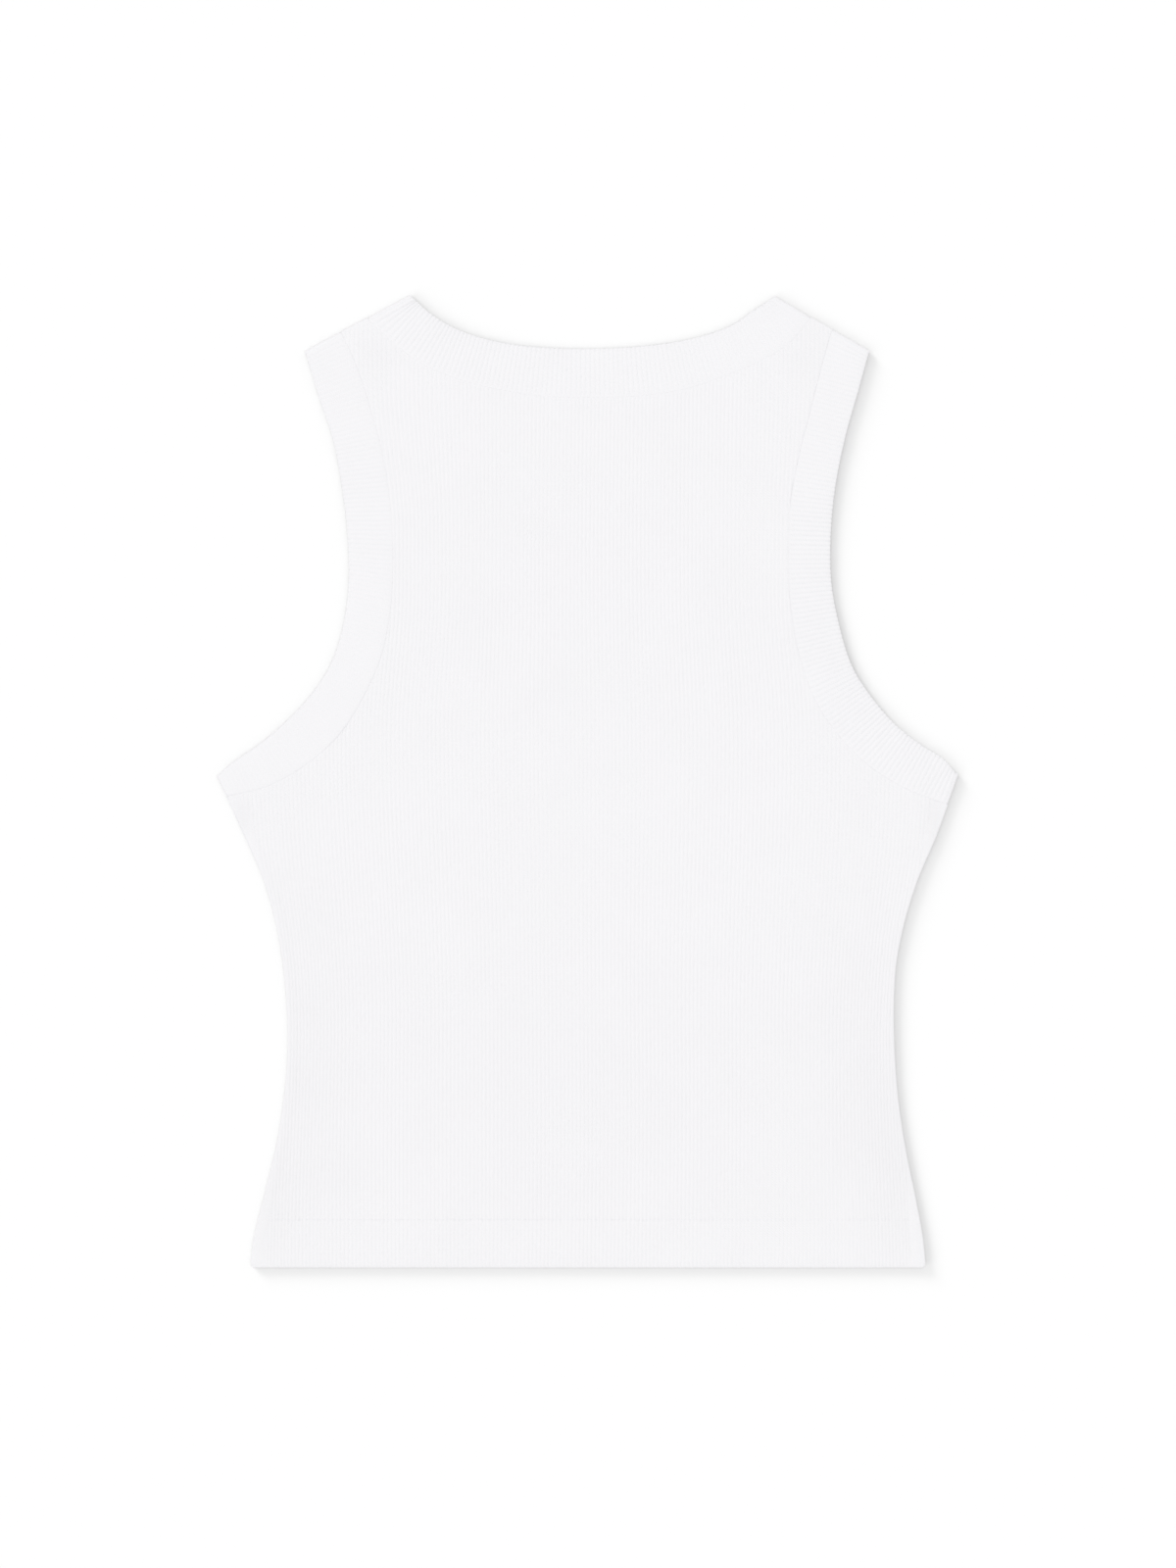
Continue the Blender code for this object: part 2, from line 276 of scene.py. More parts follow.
def finish_piece(name: str, mesh: bpy.types.Mesh, uv: Array, material: bpy.types.Material,
                 sharp_degrees: float) -> bpy.types.Object:
    """Give a mesh its pattern map, shading and material, and put it in the scene.

    Args:
        name: The piece's name.
        mesh: Its finished mesh.
        uv: Place of each vertex in the knit, in metres.
        material: Its finish.
        sharp_degrees: Edges that bend more than this are drawn sharp.

    Returns:
        The new object, at the origin.
    """
    corner = np.empty(len(mesh.loops), dtype=np.int64)
    mesh.loops.foreach_get("vertex_index", corner)
    layer = mesh.uv_layers.new(name="knit")
    layer.data.foreach_set("uv", uv[corner].astype(np.float32).ravel())
    mesh.materials.append(material)
    mesh.shade_smooth()
    mesh.set_sharp_from_angle(angle=math.radians(sharp_degrees))
    piece = bpy.data.objects.new(name, mesh)
    bpy.context.scene.collection.objects.link(piece)
    return piece


# ---------------------------------------------------------------------------------------------------
# The cut
# ---------------------------------------------------------------------------------------------------

class Fold:
    """Where a band turns over: a straight line, from its seam to its free edge, just inside the outline.

    Attributes:
        outward: The direction square to the line, out of the garment.
        seam_tip: Where the outline meets the band's seam.
        seam: Where the line starts.
        edge: Where it ends.
    """

    def __init__(self, seam: Pair, edge: Pair, outward: Pair, inset: float) -> None:
        """Set the fold in from the outline by the reach of its bend.

        Args:
            seam: Where the outline meets the band's seam.
            edge: Where the outline meets the band's free edge.
            outward: Roughly the direction out of the garment.
            inset: How far the bend reaches past the fold.
        """
        line = np.subtract(edge, seam)
        line /= np.linalg.norm(line)
        across = np.array([-line[1], line[0]])
        self.outward = across * math.copysign(1.0, float(across @ np.asarray(outward)))
        self.seam_tip = np.asarray(seam, dtype=float)
        self.seam = self.seam_tip - inset * self.outward
        self.edge = np.asarray(edge, dtype=float) - inset * self.outward


@dataclass(frozen=True)
class Cut:
    """Sizes and curves of the garment as it lies, in millimetres."""

    length: float = 496.5
    cloth: float = 1.4           # thickness of one panel over its ribs
    band: float = 1.7            # thickness of a folded band over its ribs
    back_level: float = 2.0      # underside of the upper layer's bands
    meeting_level: float = 1.7   # where the two panels touch
    hem_depth: float = 24.5      # from the hem edge to its stitch line
    hem_corner: float = 2.5      # radius of the hem's corners
    corner_turn: Pair = (90.0, 15.0)   # degrees between which such a corner is an arc
    corner_points: int = 6
    front_scoop: float = 4.0     # how much deeper the front armhole is cut than the back one
    sides: tuple[SideRow, ...] = (
        SideRow(0.0, 172.1, 172.6),
        SideRow(15.0, 170.3, 171.1),
        SideRow(35.0, 165.4, 167.5),
        SideRow(60.0, 159.3, 162.4),
        SideRow(87.0, 154.8, 158.4),
        SideRow(110.0, 153.1, 156.7),
        SideRow(135.0, 153.6, 156.3),
        SideRow(155.0, 155.5, 157.5),
        SideRow(175.0, 158.9, 161.4),
        SideRow(198.0, 165.4, 168.5),
        SideRow(221.0, 175.4, 178.3),
    )
    arm_edge: tuple[CurveRow, ...] = (
        CurveRow(-144.5, 467.5, 144.2, 467.8),
        CurveRow(-138.0, 447.0, 138.0, 447.0),
        CurveRow(-130.3, 423.8, 131.5, 423.8),
        CurveRow(-125.3, 398.0, 126.4, 398.0),
        CurveRow(-122.4, 372.0, 124.0, 372.0),
        CurveRow(-122.0, 348.0, 124.6, 348.0),
        CurveRow(-124.6, 328.0, 128.4, 328.0),
        CurveRow(-131.5, 306.8, 135.4, 306.0),
        CurveRow(-143.0, 289.8, 146.5, 289.0),
        CurveRow(-156.2, 276.3, 157.7, 276.5),
        CurveRow(-170.8, 264.5, 171.0, 266.2),
        CurveRow(-182.7, 256.4, 182.6, 258.6),
        CurveRow(-189.4, 250.8, 189.4, 252.0),
    )
    arm_seam: tuple[CurveRow, ...] = (
        CurveRow(-125.8, 477.5, 125.2, 478.6),
        CurveRow(-118.2, 461.0, 119.6, 460.5),
        CurveRow(-110.9, 439.0, 114.2, 439.0),
        CurveRow(-104.7, 416.0, 108.3, 416.0),
        CurveRow(-100.7, 391.0, 103.6, 391.0),
        CurveRow(-99.3, 362.0, 102.4, 362.0),
        CurveRow(-100.7, 335.0, 103.9, 335.0),
        CurveRow(-105.6, 311.0, 108.4, 311.0),
        CurveRow(-114.5, 291.0, 115.4, 291.0),
        CurveRow(-127.6, 271.0, 128.4, 271.0),
        CurveRow(-145.5, 255.2, 145.8, 254.2),
        CurveRow(-164.5, 245.2, 165.0, 243.1),
        CurveRow(-184.0, 240.0, 183.8, 236.2),
    )
    # Width and height of each point of the neckline, from the left shoulder to the right one.
    neck_edge: Pairs = (
        (-90.0, 496.5), (-81.8, 488.2), (-73.8, 482.6), (-64.3, 477.9), (-52.3, 473.9), (-38.0, 471.1),
        (-18.8, 469.3), (3.2, 468.9), (28.0, 470.2), (50.2, 473.3), (66.0, 477.6), (75.2, 481.6),
        (83.5, 487.5), (95.2, 496.0),
    )
    neck_seam: Pairs = (
        (-112.3, 484.6), (-100.8, 473.2), (-84.0, 460.6), (-65.8, 453.2), (-45.0, 447.8), (-24.0, 444.6),
        (3.2, 443.9), (28.0, 444.7), (50.0, 448.2), (70.7, 455.1), (87.0, 462.0), (104.2, 472.8),
        (113.9, 485.1),
    )
    # The same between the shoulders on the front, which hangs lower.
    front_neck_edge: Pairs = (
        (-81.5, 471.0), (-70.0, 449.0), (-52.0, 432.5), (-28.0, 423.0), (0.0, 420.0), (29.0, 423.0),
        (54.0, 432.5), (73.0, 449.0), (86.0, 471.0),
    )
    front_neck_seam: Pairs = (
        (-105.0, 463.0), (-92.0, 437.0), (-67.0, 412.0), (-35.0, 399.5), (0.0, 396.0), (36.0, 399.5),
        (69.0, 412.0), (94.5, 437.0), (108.0, 463.0),
    )

    @property
    def top_level(self) -> float:
        """Top of the bands in the upper layer."""
        return self.back_level + self.band

    @property
    def fold_radius(self) -> float:
        """Radius of the middle of a band where it turns over."""
        return self.top_level / 2 - self.band / 2

    @property
    def fold_inset(self) -> float:
        """How far a band's bend reaches past its fold."""
        return self.fold_radius + self.band / 2

    def neck_folds(self) -> tuple[Fold, Fold]:
        """The neck band's folds, at the left and the right shoulder."""
        return (Fold(self.neck_seam[0], self.neck_edge[0], outward=(-0.5, 1.0), inset=self.fold_inset),
                Fold(self.neck_seam[-1], self.neck_edge[-1], outward=(0.5, 1.0), inset=self.fold_inset))

    def arm_points(self, rows: tuple[CurveRow, ...], side: Side) -> list[Pair]:
        """One side's points of an armhole curve.

        Args:
            rows: The curve's rows.
            side: The side to read.

        Returns:
            Width and height of each point, shoulder to underarm.
        """
        if side is Side.LEFT:
            return [(row.left_x, row.left_height) for row in rows]
        return [(row.right_x, row.right_height) for row in rows]

    def arm_folds(self, side: Side) -> tuple[Fold, Fold]:
        """An armhole band's folds.

        Args:
            side: Which armhole.

        Returns:
            The fold at the shoulder and the one at the underarm.
        """
        seam = self.arm_points(self.arm_seam, side)
        edge = self.arm_points(self.arm_edge, side)
        return (Fold(seam[0], edge[0], outward=(0.5 * side.value, 1.0), inset=self.fold_inset),
                Fold(seam[-1], edge[-1], outward=(side.value, -0.5), inset=self.fold_inset))

    def neck_curves(self, layer: Layer) -> tuple[Array, Array]:
        """The neckline on a layer, left to right.

        Args:
            layer: The back, or the front with its lower neckline.

        Returns:
            The band's seam and its free edge.
        """
        left, right = self.neck_folds()
        back = layer is Layer.BACK
        seam = self.neck_seam[1:-1] if back else self.front_neck_seam
        edge = self.neck_edge[1:-1] if back else self.front_neck_edge
        return (smooth_curve([left.seam, *seam, right.seam]),
                smooth_curve([left.edge, *edge, right.edge]))

    def arm_curves(self, side: Side, layer: Layer) -> tuple[Array, Array]:
        """An armhole on a layer, shoulder to underarm.

        The front is cut deeper by the scoop times the squared sine of half a turn along the curve.

        Args:
            side: Which armhole.
            layer: The back or the front.

        Returns:
            The band's seam and its free edge.
        """
        shoulder, underarm = self.arm_folds(side)
        seam = smooth_curve([shoulder.seam, *self.arm_points(self.arm_seam, side)[1:-1], underarm.seam])
        edge = smooth_curve([shoulder.edge, *self.arm_points(self.arm_edge, side)[1:-1], underarm.edge])
        if layer is Layer.FRONT:
            for curve in (seam, edge):
                share = np.linspace(0.0, 1.0, len(curve))
                curve[:, 0] -= side.value * self.front_scoop * np.sin(math.pi * share)**2
        return seam, edge

    def side_seam(self, side: Side) -> Array:
        """A side seam from the hem edge up to the underarm, with the hem's rounded corner.

        Args:
            side: Which side.

        Returns:
            The seam's points, one a row.
        """
        name = side.name.lower()
        rows = [(side.value * getattr(row, name), row.height) for row in self.sides]
        curve = smooth_curve([*rows, self.arm_folds(side)[1].seam_tip])
        turn = np.radians(np.linspace(*self.corner_turn, self.corner_points))
        centre = rows[0][0] - side.value * self.hem_corner
        corner = np.column_stack([centre + side.value * self.hem_corner * np.cos(turn),
                                  self.hem_corner * (1.0 - np.sin(turn))])
        return np.vstack([corner, curve[curve[:, 1] > self.hem_corner]])

    def shoulder_lines(self) -> tuple[Array, Array]:
        """The panels' short shoulder edges.

        Returns:
            The left and the right one, each from the armhole to the neck.
        """
        ends = zip((Side.LEFT, Side.RIGHT), self.neck_folds())
        left, right = (np.vstack([self.arm_folds(side)[0].seam_tip, neck.seam_tip]) for side, neck in ends)
        return left, right


# ---------------------------------------------------------------------------------------------------
# The knit
# ---------------------------------------------------------------------------------------------------

class Crease(NamedTuple):
    """A soft ridge or trough along a straight line: ends, spread and lift at its middle."""

    x1: float
    height1: float
    x2: float
    height2: float
    spread: float
    lift: float


class ShadeSpot(NamedTuple):
    """A soft spot of painted shade, where the cloth's colour is made greyer: its middle, its half-sizes and
    how much.
    """

    x: float
    height: float
    half_width: float
    half_height: float
    share: float


@dataclass(frozen=True)
class RibLayout:
    """How the ribs of the body run: up, closer at the waist's sides, wider at the underarms and straps."""

    pitch: float = 1.99                # from rib to rib where the cloth is relaxed
    depth: float = 0.25                # of the valleys between them
    roundness: float = 0.6             # below 1 the ribs are fuller and their valleys narrower
    flare: float = 0.05                # how much wider the ribs lie at the level of the underarms
    flare_rise: Pair = (115.0, 255.0)  # heights over which they come to that
    flare_fall: Pair = (268.0, 348.0)  # and go back
    fan_from: Pair = (60.0, 88.0)      # width at which they spread over the shoulders, left and right
    fan_spread: Pair = (0.175, 0.17)   # how much wider they lie beyond it
    fan_rise: Pair = (372.0, 452.0)    # heights over which they come to that
    fan_ease: float = 15.0             # how softly the spread begins
    draw_reach: float = 40.0           # width of the strip at a side seam in which the ribs lie closer
    draw_limit: float = 1.3            # past this share of the strip the draw grows no more
    draw: float = 4.0                  # how far the waist's outermost ribs are drawn in
    draw_fall: Pair = (165.0, 235.0)   # heights over which that ends
    centre_ease: float = 20.0          # the middle, in which the fan and the draw change sides
    wander: float = 0.45               # how far a rib strays from its line
    long_wave: Pair = (71.0, 83.0)     # height and width over which a wave goes on by a radian
    short_wave: Pair = (34.0, 47.0)
    corrections: int = 12              # rounds in which the rib at a place is found

    def place(self, rib: Array, height: Array, half_width: Array) -> Array:
        """Where a rib lies across the garment.

        The rib's own coordinate times a swell that is full at the underarms, plus a spread that grows
        with width and height over the shoulders, less a draw that grows as the square of the way into
        the strip at the side seam, plus two slow waves, the shorter one half as high.

        Args:
            rib: Coordinate of the rib where the cloth is relaxed.
            height: Height above the hem.
            half_width: Half-width of the body at that height.

        Returns:
            Widths from the centre line.
        """
        reach = np.abs(rib)
        swell = self.flare * rise(height, self.flare_rise) * (1.0 - rise(height, self.flare_fall))
        left = rib < 0.0
        past = reach - np.where(left, *self.fan_from)
        spread = np.where(left, *self.fan_spread) * rise(height, self.fan_rise)
        fan = spread * (past + np.sqrt(past**2 + self.fan_ease**2)) / 2
        inside = np.clip((reach - half_width + self.draw_reach) / self.draw_reach, 0.0, self.draw_limit)
        slack = 1.0 - rise(height, self.draw_fall)
        waves = np.sin(height / self.long_wave[0] + rib / self.long_wave[1])
        waves = waves + 0.5 * np.sin(height / self.short_wave[0] - rib / self.short_wave[1])
        sideways = np.tanh(rib / self.centre_ease) * (fan - self.draw * slack * inside**2)
        return rib * (1.0 + swell) + sideways + self.wander * waves

    def rib_at(self, x: Array, height: Array, half_width: Array) -> Array:
        """The coordinate of the rib that lies at a place, found by repeated correction.

        Args:
            x: Width from the centre line.
            height: Height above the hem.
            half_width: Half-width of the body at that height.

        Returns:
            One coordinate a place.
        """
        rib = np.array(x, dtype=float)
        for _ in range(self.corrections):
            rib += x - self.place(rib, height, half_width)
        return rib

    def profile(self, phase: Array) -> Array:
        """Height of the surface over a rib, 0 in the valleys and 1 on the crest: a power of half a sine."""
        return np.abs(np.sin(math.pi * phase))**self.roundness


def rolled(distance: Array, reach: float, drop: float | Array) -> Array:
    """How far a surface has fallen near an edge: a quarter of an ellipse of that reach and drop."""
    t = np.clip(1.0 - distance / reach, 0.0, 1.0)
    return drop * (1.0 - np.sqrt(np.maximum(1.0 - t * t, 0.0)))


@dataclass
class Panel:
    """A body panel: a net that follows the ribs, with a rolled rim and a plain inside.

    Attributes:
        side_seams: Each side's seam, from the hem up to the underarm.
        arm_seams: Each side's armhole, from the shoulder to the underarm.
        neck_seam: The neckline, left to right.
        turns: Rib coordinate at which each armhole is narrowest.
        lower_limit: The armholes below that place, left to right.
        upper_limit: The armholes above it, left to right.
        top_limit: The shoulders and the neckline, left to right.
    """

    name: str
    layer: Layer
    cut: Cut
    layout: RibLayout
    creases: tuple[Crease, ...]
    # spots of painted shade, where the cloth's colour is made greyer
    shade_spots: tuple[ShadeSpot, ...] = ()
    rib_points: int = 5          # columns of the net for each rib
    row_step: float = 8.0        # from one level row to the next
    side_step: float = 2.0       # rows lie closer near the side seams
    hem_rows: tuple[float, ...] = (4.0, 8.0, 13.0)   # heights of rows in the hem
    # Heights of the rows near the stitch line, from that line.
    stitch_rows: tuple[float, ...] = (-5.0, -2.2, -1.3, -0.7, -0.35, 0.0, 0.35, 0.7, 1.3, 2.4)
    first_step: float = 7.0      # from the last of those to the first row above
    shelf_gap: float = 4.0       # the level rows end this far below the lower underarm
    shelf_climb: float = 120.0   # the last one climbs to the other underarm over this width
    fan_rows: int = 16           # steps between the two graded ends of a column
    margin_room: float = 4.0     # a column shorter than so many last margins has them all smaller
    middle_half: float = 138.0   # half-width of the part whose rows are the wide ones
    half_span: float = 190.0     # ribs are laid out to this coordinate on each side
    hem_rise: float = 0.22       # extra thickness of the turned-up hem
    hem_slope: float = 2.4       # height over which that ends
    stitch_groove: float = 0.02  # how far the cover stitch draws the cloth in
    stitch_width: float = 0.7    # over this much on each side
    edge_reach: float = 0.8      # the side seams roll down over this width
    hem_reach: float = 1.4       # and the hem edge over this one
    edge_drop: float = 0.75
    seam_reach: float = 0.9      # the same where a band is sewn on
    seam_drop: float = 0.03
    # How far the cloth falls to the right armhole's seam, at two heights.
    right_drop: Pairs = ((250.0, 0.02), (340.0, 0.18))
    seam_rib: float = 0.35       # share of the ribs' depth that is left at such a seam
    allowance_width: float = 6.5  # the side seam's allowances inside raise the cloth over this width
    allowance_lift: float = 0.22
    plain_side: float = 1.6      # width without ribs at a side seam
    plain_end: float = 8.0       # the same at its two ends
    low_end: Pair = (10.0, 60.0)       # heights over which it narrows above the hem
    high_end: Pair = (200.0, 238.0)    # and widens below the underarm
    plain_from: float = 0.65     # share of that width from which the ribs grow
    plain_sink: float = 0.4      # cloth without ribs lies lower by this share of their depth
    inner_gap: float = 0.02      # from a panel's plain inside to the level where the two meet
    margins: tuple[float, ...] = (0.0, 0.07, 0.2, 0.4, 0.7, 1.2)   # places of the points near an edge
    strip_ease: float = 14.0     # the strip along a side seam narrows to nothing over this height
    sharp: float = 75.0          # edges that bend more degrees are drawn sharp

    def __post_init__(self) -> None:
        """Work out the curves that bound the panel."""
        self.side_seams: dict[Side, Array] = {side: self.cut.side_seam(side) for side in Side}
        self.arm_seams: dict[Side, Array] = {}
        self.turns: list[float] = []
        lower = []
        upper = []
        for side in Side:
            shoulder, underarm = self.cut.arm_folds(side)
            seam = self.cut.arm_curves(side, self.layer)[0]
            seam = np.vstack([shoulder.seam_tip, seam, underarm.seam_tip])
            self.arm_seams[side] = seam
            reached = side.value * self.rib_of(*seam.T)
            narrow = int(np.argmin(reached))
            self.turns.append(side.value * reached[narrow])
            lower.append(seam[narrow:][::-1] if side is Side.LEFT else seam[narrow:])
            upper.append(seam[:narrow + 1] if side is Side.LEFT else seam[:narrow + 1][::-1])
        self.lower_limit = np.vstack(lower)
        self.upper_limit = np.vstack(upper)
        left, right = self.cut.shoulder_lines()
        self.neck_seam = self.cut.neck_curves(self.layer)[0]
        self.top_limit = np.vstack([left, self.neck_seam, right[::-1]])

    def half_width(self, height: Array) -> Array:
        """Half-width of the body at a height, the mean of its two sides."""
        widths = [np.interp(height, seam[:, 1], np.abs(seam[:, 0])) for seam in self.side_seams.values()]
        return np.mean(widths, axis=0)

    def rib_x(self, rib: Array, height: Array) -> Array:
        """Width at which a rib lies at a height."""
        return self.layout.place(rib, height, self.half_width(height))

    def rib_of(self, x: Array, height: Array) -> Array:
        """Coordinate of the rib that lies at a place."""
        return self.layout.rib_at(x, height, self.half_width(height))

    def meet(self, rib: Array, limit: Array) -> Array:
        """Height at which each rib reaches a limit, read from the rib coordinates of the limit's points."""
        return np.interp(rib, np.maximum.accumulate(self.rib_of(*limit.T)), limit[:, 1])

    def graded(self, low: Array, high: Array, count: int) -> Array:
        """Rows from one height to another, closer together near both.

        Args:
            low: Lowest height of each column.
            high: Highest height of each column.
            count: Number of even steps between the two graded ends.

        Returns:
            One row of heights a row of the net.
        """
        margins = np.array(self.margins)[:, None]
        scale = np.clip((high - low) / (self.margin_room * self.margins[-1]), 0.0, 1.0)
        bottom = low + margins * scale
        top = high - margins[::-1] * scale
        share = np.linspace(0.0, 1.0, count + 1)[1:-1, None]
        return np.vstack([bottom, bottom[-1] + (top[0] - bottom[-1]) * share, top])

    def level_rows(self, top: float) -> tuple[Array, Array]:
        """The level rows, some of which are only laid near the side seams, whose curve they follow.

        Args:
            top: Height that the rows stay below.

        Returns:
            The heights of all rows, and the indices of those that run right across.
        """
        near_stitch = self.cut.hem_depth + np.array(self.stitch_rows)
        above = np.arange(near_stitch[-1] + self.first_step, top, self.row_step)
        main = np.concatenate([self.margins, self.hem_rows, near_stitch, above])
        # The hundredth keeps a whole number of steps whole.
        parts = np.ceil(np.diff(main) / self.side_step - 0.01).astype(int)
        index = np.concatenate([[0], np.cumsum(parts)])
        return np.interp(np.arange(index[-1] + 1), index, main), index

    def lower_net(self, rib: Array) -> tuple[Array, Array, Array]:
        """The net below the narrowest place of the armholes.

        Up to the underarms the rows are level, and their last few points follow the side seams. Above
        them they fan out to the armholes' lower halves.

        Args:
            rib: Coordinate of each column.

        Returns:
            Width and height of each point, row by row, and four corner indices a face.
        """
        tips = [self.side_seams[side][-1, 1] for side in (Side.LEFT, Side.RIGHT)]
        strip = np.array(self.margins)
        rib = np.concatenate([np.full(len(strip), rib[0]), rib, np.full(len(strip), rib[-1])])
        shelf = tips[0] + (tips[1] - tips[0]) * smoothstep(rib / self.shelf_climb + 0.5)
        fine, main = self.level_rows(min(tips) - self.shelf_gap)
        parts = math.ceil((max(tips) - fine[-1]) / self.side_step)
        last = fine[-1] + (shelf - fine[-1]) * (np.arange(1, parts + 1) / parts)[:, None]
        level = np.vstack([np.broadcast_to(fine[:, None], (len(fine), len(rib))), last])
        fan = self.graded(shelf, self.meet(rib, self.lower_limit), self.fan_rows)[1:]
        height = np.vstack([level, fan])
        width = self.rib_x(np.broadcast_to(rib, height.shape), height)
        under = height <= shelf
        ease = smoothstep((shelf - height) / self.strip_ease)
        from_edge = np.concatenate([strip, np.full(len(rib) - 2 * len(strip), strip[-1]), strip[::-1]])
        for side, seam in self.side_seams.items():
            edge = np.interp(height, seam[:, 1], seam[:, 0]) - side.value * from_edge * ease
            width = np.where(under & (side.value * (width - edge) > 0.0), edge, width)
        main = np.concatenate([main, np.arange(len(level) - 1, len(height))])
        return width, height, self.lower_faces(rib, len(height), main)

    def lower_faces(self, rib: Array, rows: int, main: Array) -> Array:
        """Faces of the lower net: large ones in its middle, small ones beside them, and their joint.

        Args:
            rib: Coordinate of each column.
            rows: Number of rows.
            main: Indices of the rows that run right across.

        Returns:
            Four corner indices a face.
        """
        every = np.arange(rows)
        nearest = main[np.argmin(np.abs(main[None] - every[:, None]), axis=1)]
        middle = np.flatnonzero(np.abs(rib) <= self.middle_half)
        columns = np.arange(len(rib))
        faces = [
            net_faces(main, middle, len(rib)),
            net_faces(every, columns[:middle[0]], len(rib)),
            net_faces(every, columns[middle[-1] + 1:], len(rib)),
        ]
        for inner, outer in ((middle[0], middle[0] - 1), (middle[-1], middle[-1] + 1)):
            near = nearest * len(rib) + inner
            far = every * len(rib) + outer
            faces.append(np.column_stack([near[:-1], far[:-1], far[1:], near[1:]]))
        return np.vstack(faces)

    def upper_net(self, rib: Array) -> tuple[Array, Array, Array]:
        """The net from the armholes' narrowest place and upper halves to the neck and shoulders.

        Args:
            rib: Coordinate of each column.

        Returns:
            Width and height of each point, row by row, and four corner indices a face.
        """
        low = self.meet(rib, self.upper_limit)
        height = self.graded(low, np.maximum(self.meet(rib, self.top_limit), low), self.fan_rows)
        width = self.rib_x(np.broadcast_to(rib, height.shape), height)
        width = np.clip(width, *self.top_limit[[0, -1], 0])
        return width, height, net_faces(np.arange(len(height)), np.arange(len(rib)), len(rib))

    def plan(self) -> tuple[Array, Array, Array, list[list[int]]]:
        """Lay out the net in the plane; its columns follow the ribs.

        Returns:
            Width, height and rib coordinate of each point, and the faces.
        """
        count = 2 * round(self.half_span / self.layout.pitch) * self.rib_points
        rib = (np.arange(count + 1) - count / 2) * self.layout.pitch / self.rib_points
        for turn in self.turns:
            rib[np.argmin(np.abs(rib - turn))] = turn
        places = []
        faces = []
        start = 0
        for width, height, cells in (self.lower_net(rib), self.upper_net(rib)):
            places.append(np.column_stack([width.ravel(), height.ravel()]))
            faces.append(cells + start)
            start += height.size
        plan = np.vstack(places)
        kept, polygons = weld(plan, np.vstack(faces))
        x, height = plan[kept].T
        return x, height, self.rib_of(x, height), polygons

    def base(self, x: Array, height: Array) -> Array:
        """Lift of the cloth over its flat height, without the ribs and the edges.

        The hem's extra layer ends in a slope at the cover stitch, which draws a groove whose section is
        a bell. Each crease is a bell over the distance to its line, times its lift.

        Args:
            x: Width from the centre line.
            height: Height above the hem.

        Returns:
            One lift a place.
        """
        hem = self.hem_rise * smoothstep((self.cut.hem_depth - height) / self.hem_slope + 0.5)
        groove = self.stitch_groove * np.exp(-((height - self.cut.hem_depth) / self.stitch_width)**2)
        lift = hem - groove
        points = np.column_stack([x, height])
        for crease in self.creases:
            line = np.array([[crease.x1, crease.height1], [crease.x2, crease.height2]])
            lift = lift + crease.lift * np.exp(-(distance_to(points, line) / crease.spread)**2)
        return lift

    def relief(self, x: Array, height: Array, rib: Array) -> Array:
        """Lift of the outer surface over its flat height: base, allowances, ribs and rolled edges.

        The ribs begin beyond the plain strip at a side seam and lose height beside a band. Where edges
        meet, the one that falls most counts.

        Args:
            x: Width from the centre line.
            height: Height above the hem.
            rib: Coordinate of the rib there.

        Returns:
            One lift a place.
        """
        points = np.column_stack([x, height])
        side = np.minimum(*(distance_to(points, seam) for seam in self.side_seams.values()))
        shoulder = np.minimum(*(distance_to(points, line) for line in self.cut.shoulder_lines()))
        right = distance_to(points, self.arm_seams[Side.RIGHT])
        left = distance_to(points, self.arm_seams[Side.LEFT])
        seam = np.minimum.reduce([distance_to(points, self.neck_seam), left, right])
        ends = np.maximum(1.0 - rise(height, self.low_end), rise(height, self.high_end))
        plain = self.plain_side + (self.plain_end - self.plain_side) * ends
        ribs = rise(side / plain, (self.plain_from, 1.0)) * smoothstep(shoulder / self.plain_side)
        ribs = ribs * (self.seam_rib + (1.0 - self.seam_rib) * smoothstep(seam / self.seam_reach))
        valley = self.layout.depth * (1.0 - self.layout.profile(rib / self.layout.pitch)) * ribs
        flat = self.layout.depth * self.plain_sink * (1.0 - ribs)
        allowance = self.allowance_lift * smoothstep(2.0 - side / self.allowance_width * 2.0)
        fall = np.maximum.reduce([
            rolled(np.minimum(side, shoulder), self.edge_reach, self.edge_drop),
            rolled(height, self.hem_reach, self.edge_drop),
            rolled(seam, self.seam_reach, self.seam_drop),
            rolled(right, self.seam_reach, np.interp(height, *zip(*self.right_drop))),
        ])
        return self.base(x, height) + allowance - valley - flat - fall

    def level(self, lift: Array) -> Array:
        """Level of the outer surface: the back's stands on the front, the front's lies on the ground.

        Args:
            lift: How far each point stands out from the flat surface.

        Returns:
            One level a point.
        """
        if self.layer is Layer.BACK:
            return self.cut.back_level + self.cut.cloth + lift
        return np.maximum(self.hem_rise - lift, 0.0)

    @property
    def inner_level(self) -> float:
        """Level of the plain inside, a hair from the other panel's."""
        return self.cut.meeting_level + (self.inner_gap if self.layer is Layer.BACK else -self.inner_gap)

    def close_inside(self, bm: bmesh.types.BMesh) -> None:
        """Draw a rim straight to the inside level, and close it with one face.

        Args:
            bm: The outer surface, open for editing.
        """
        border = [edge for edge in bm.edges if edge.is_boundary]
        drawn = bmesh.ops.extrude_edge_only(bm, edges=border)["geom"]
        corners = [item for item in drawn if isinstance(item, bmesh.types.BMVert)]
        bmesh.ops.scale(bm, vec=(1.0, 1.0, 0.0), verts=corners)
        bmesh.ops.translate(bm, vec=(0.0, 0.0, self.inner_level * MM), verts=corners)
        rim = [item for item in drawn if isinstance(item, bmesh.types.BMEdge)]
        bmesh.ops.edgeloop_fill(bm, edges=rim)

